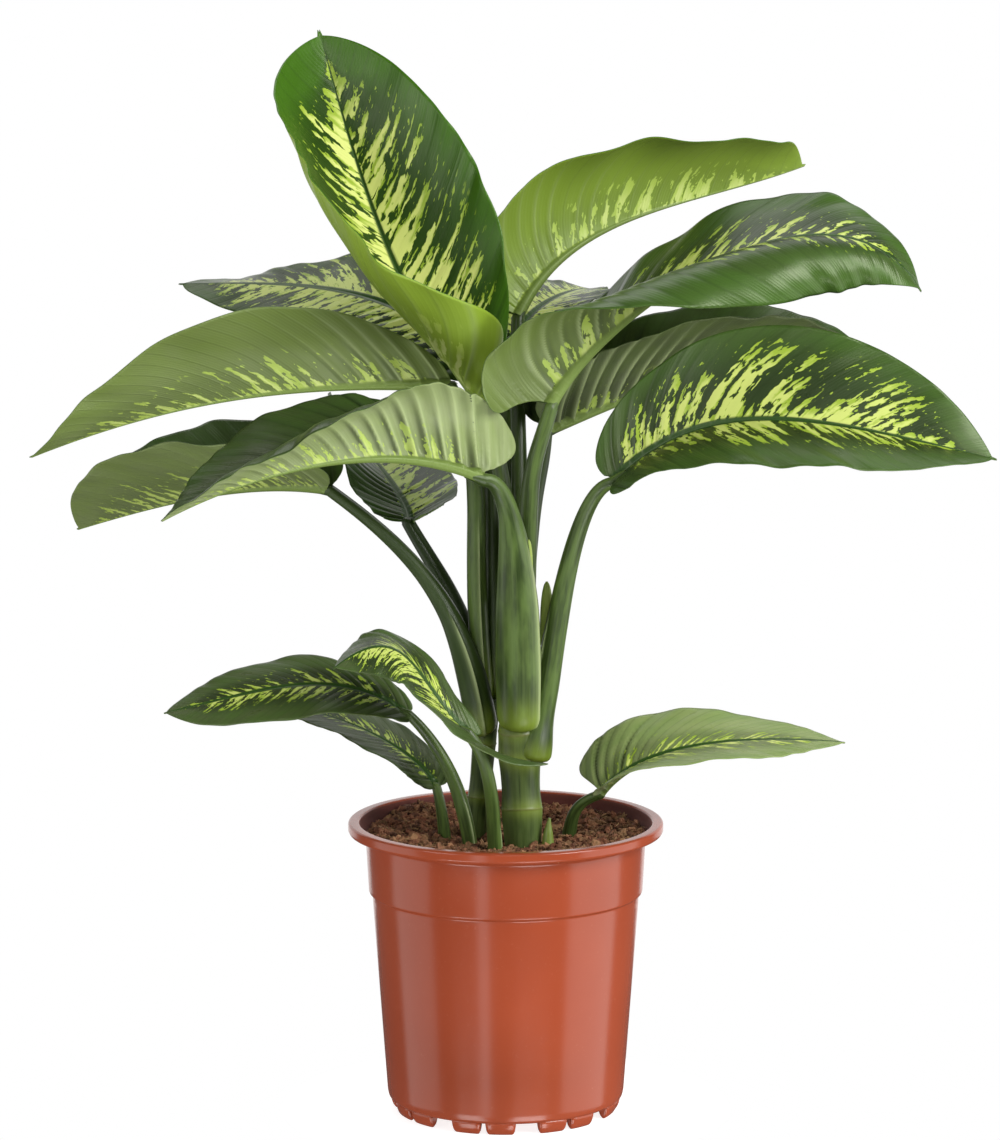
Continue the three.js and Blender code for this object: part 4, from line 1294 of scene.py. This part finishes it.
def build_wall():
    """The pot's wall: the rounded profile, carried once round the axis, with flat discs at the middle."""
    columns = 256
    radius, height = rounded(WALL[:, :2], WALL[1:-1, 2:]).T
    x, y = round_axis(radius, columns)
    # The inner side of the wall begins at the seventeenth corner, and each corner has five rings.
    # the inside mark is where the wall gets its painted shade
    inside = np.repeat(ease(72, 76, np.arange(len(radius))), columns)
    make_piece(
        "pot_wall", np.stack(np.broadcast_arrays(x, y, height[:, None]), -1),
        tube_faces(len(radius), columns), "pot", [plastic], marks={"inside": inside},
    )


build_wall()


# %% The feet
FEET = 16
# height, inner radius, outer radius and width in degrees of each level of a foot, from the ground up
LEVELS = np.array([
    [0, 72.2, 73.2, 11.8], [0.35, 71.6, 73.9, 12.8], [1.0, 71.2, 74.6, 13.5], [2.5, 70, 75.6, 14.5],
    [4.5, 69.4, 76.4, 15.0], [7, 69, 77, 15.5], [9, 69, 77.3, 15.5],
])
# where the first pair stands, and the angles of one foot and of the notch between the two, in degrees
FIRST_PAIR, FOOT, NOTCH = -11.5, 15.5, 2.3


def build_feet():
    """Sixteen feet: a rounded rectangle of angle and radius, carried down through seven levels."""
    pairs = FIRST_PAIR + 45 * np.arange(FEET // 2)[:, None] + np.array([-1, 1]) * (FOOT + NOTCH) / 2
    middle = np.radians(pairs.ravel())[:, None, None]
    turn = circle(48)
    square = np.stack([np.cos(turn), np.sin(turn)]) / (np.cos(turn) ** 6 + np.sin(turn) ** 6) ** (1 / 6)
    z, inner, outer, wide = LEVELS.T[:, None, :, None]
    angle = middle + np.radians(0.5 * wide) * square[0]
    radius = 0.5 * (inner + outer) + 0.5 * (outer - inner) * square[1]
    rows, columns = len(LEVELS), len(turn)
    faces = [copies(part[:, ::-1], rows * columns, FEET) for part in tube_faces(rows, columns)]
    make_piece(
        "pot_feet", np.stack(np.broadcast_arrays(radius * np.sin(angle), -radius * np.cos(angle), z), -1),
        faces, "pot", [plastic], marks={"inside": 0.0},
    )


build_feet()

# %% [markdown]
# ## The floor
# The floor is part of the stage, not of the plant. A wide floor would show as a pale haze in the glossy
# wall, so it is a small round table top, hidden from reflections, and as white as the sky.


# %% Floor
def build_floor(radius, corners):
    """A round white table top under the feet, with so many corners at a distance in metres from the axis."""
    material, tree, shader = new_material("white_table")
    feed(tree, shader, {
        "Base Color": (0.4, 0.4, 0.4, 1), "Roughness": 0.9, "Emission Color": (1, 1, 1, 1),
        "Emission Strength": 0.85,
    })
    turns = circle(corners)
    rim = np.stack([radius * np.cos(turns), radius * np.sin(turns), 0 * turns], -1)
    mesh = bpy.data.meshes.new("floor")
    mesh.from_pydata(rim.tolist(), [], [list(range(corners))])
    mesh.materials.append(material)
    floor = bpy.data.objects.new("floor", mesh)
    floor.visible_glossy = False
    bpy.context.collection.objects.link(floor)


build_floor(0.15, 64)
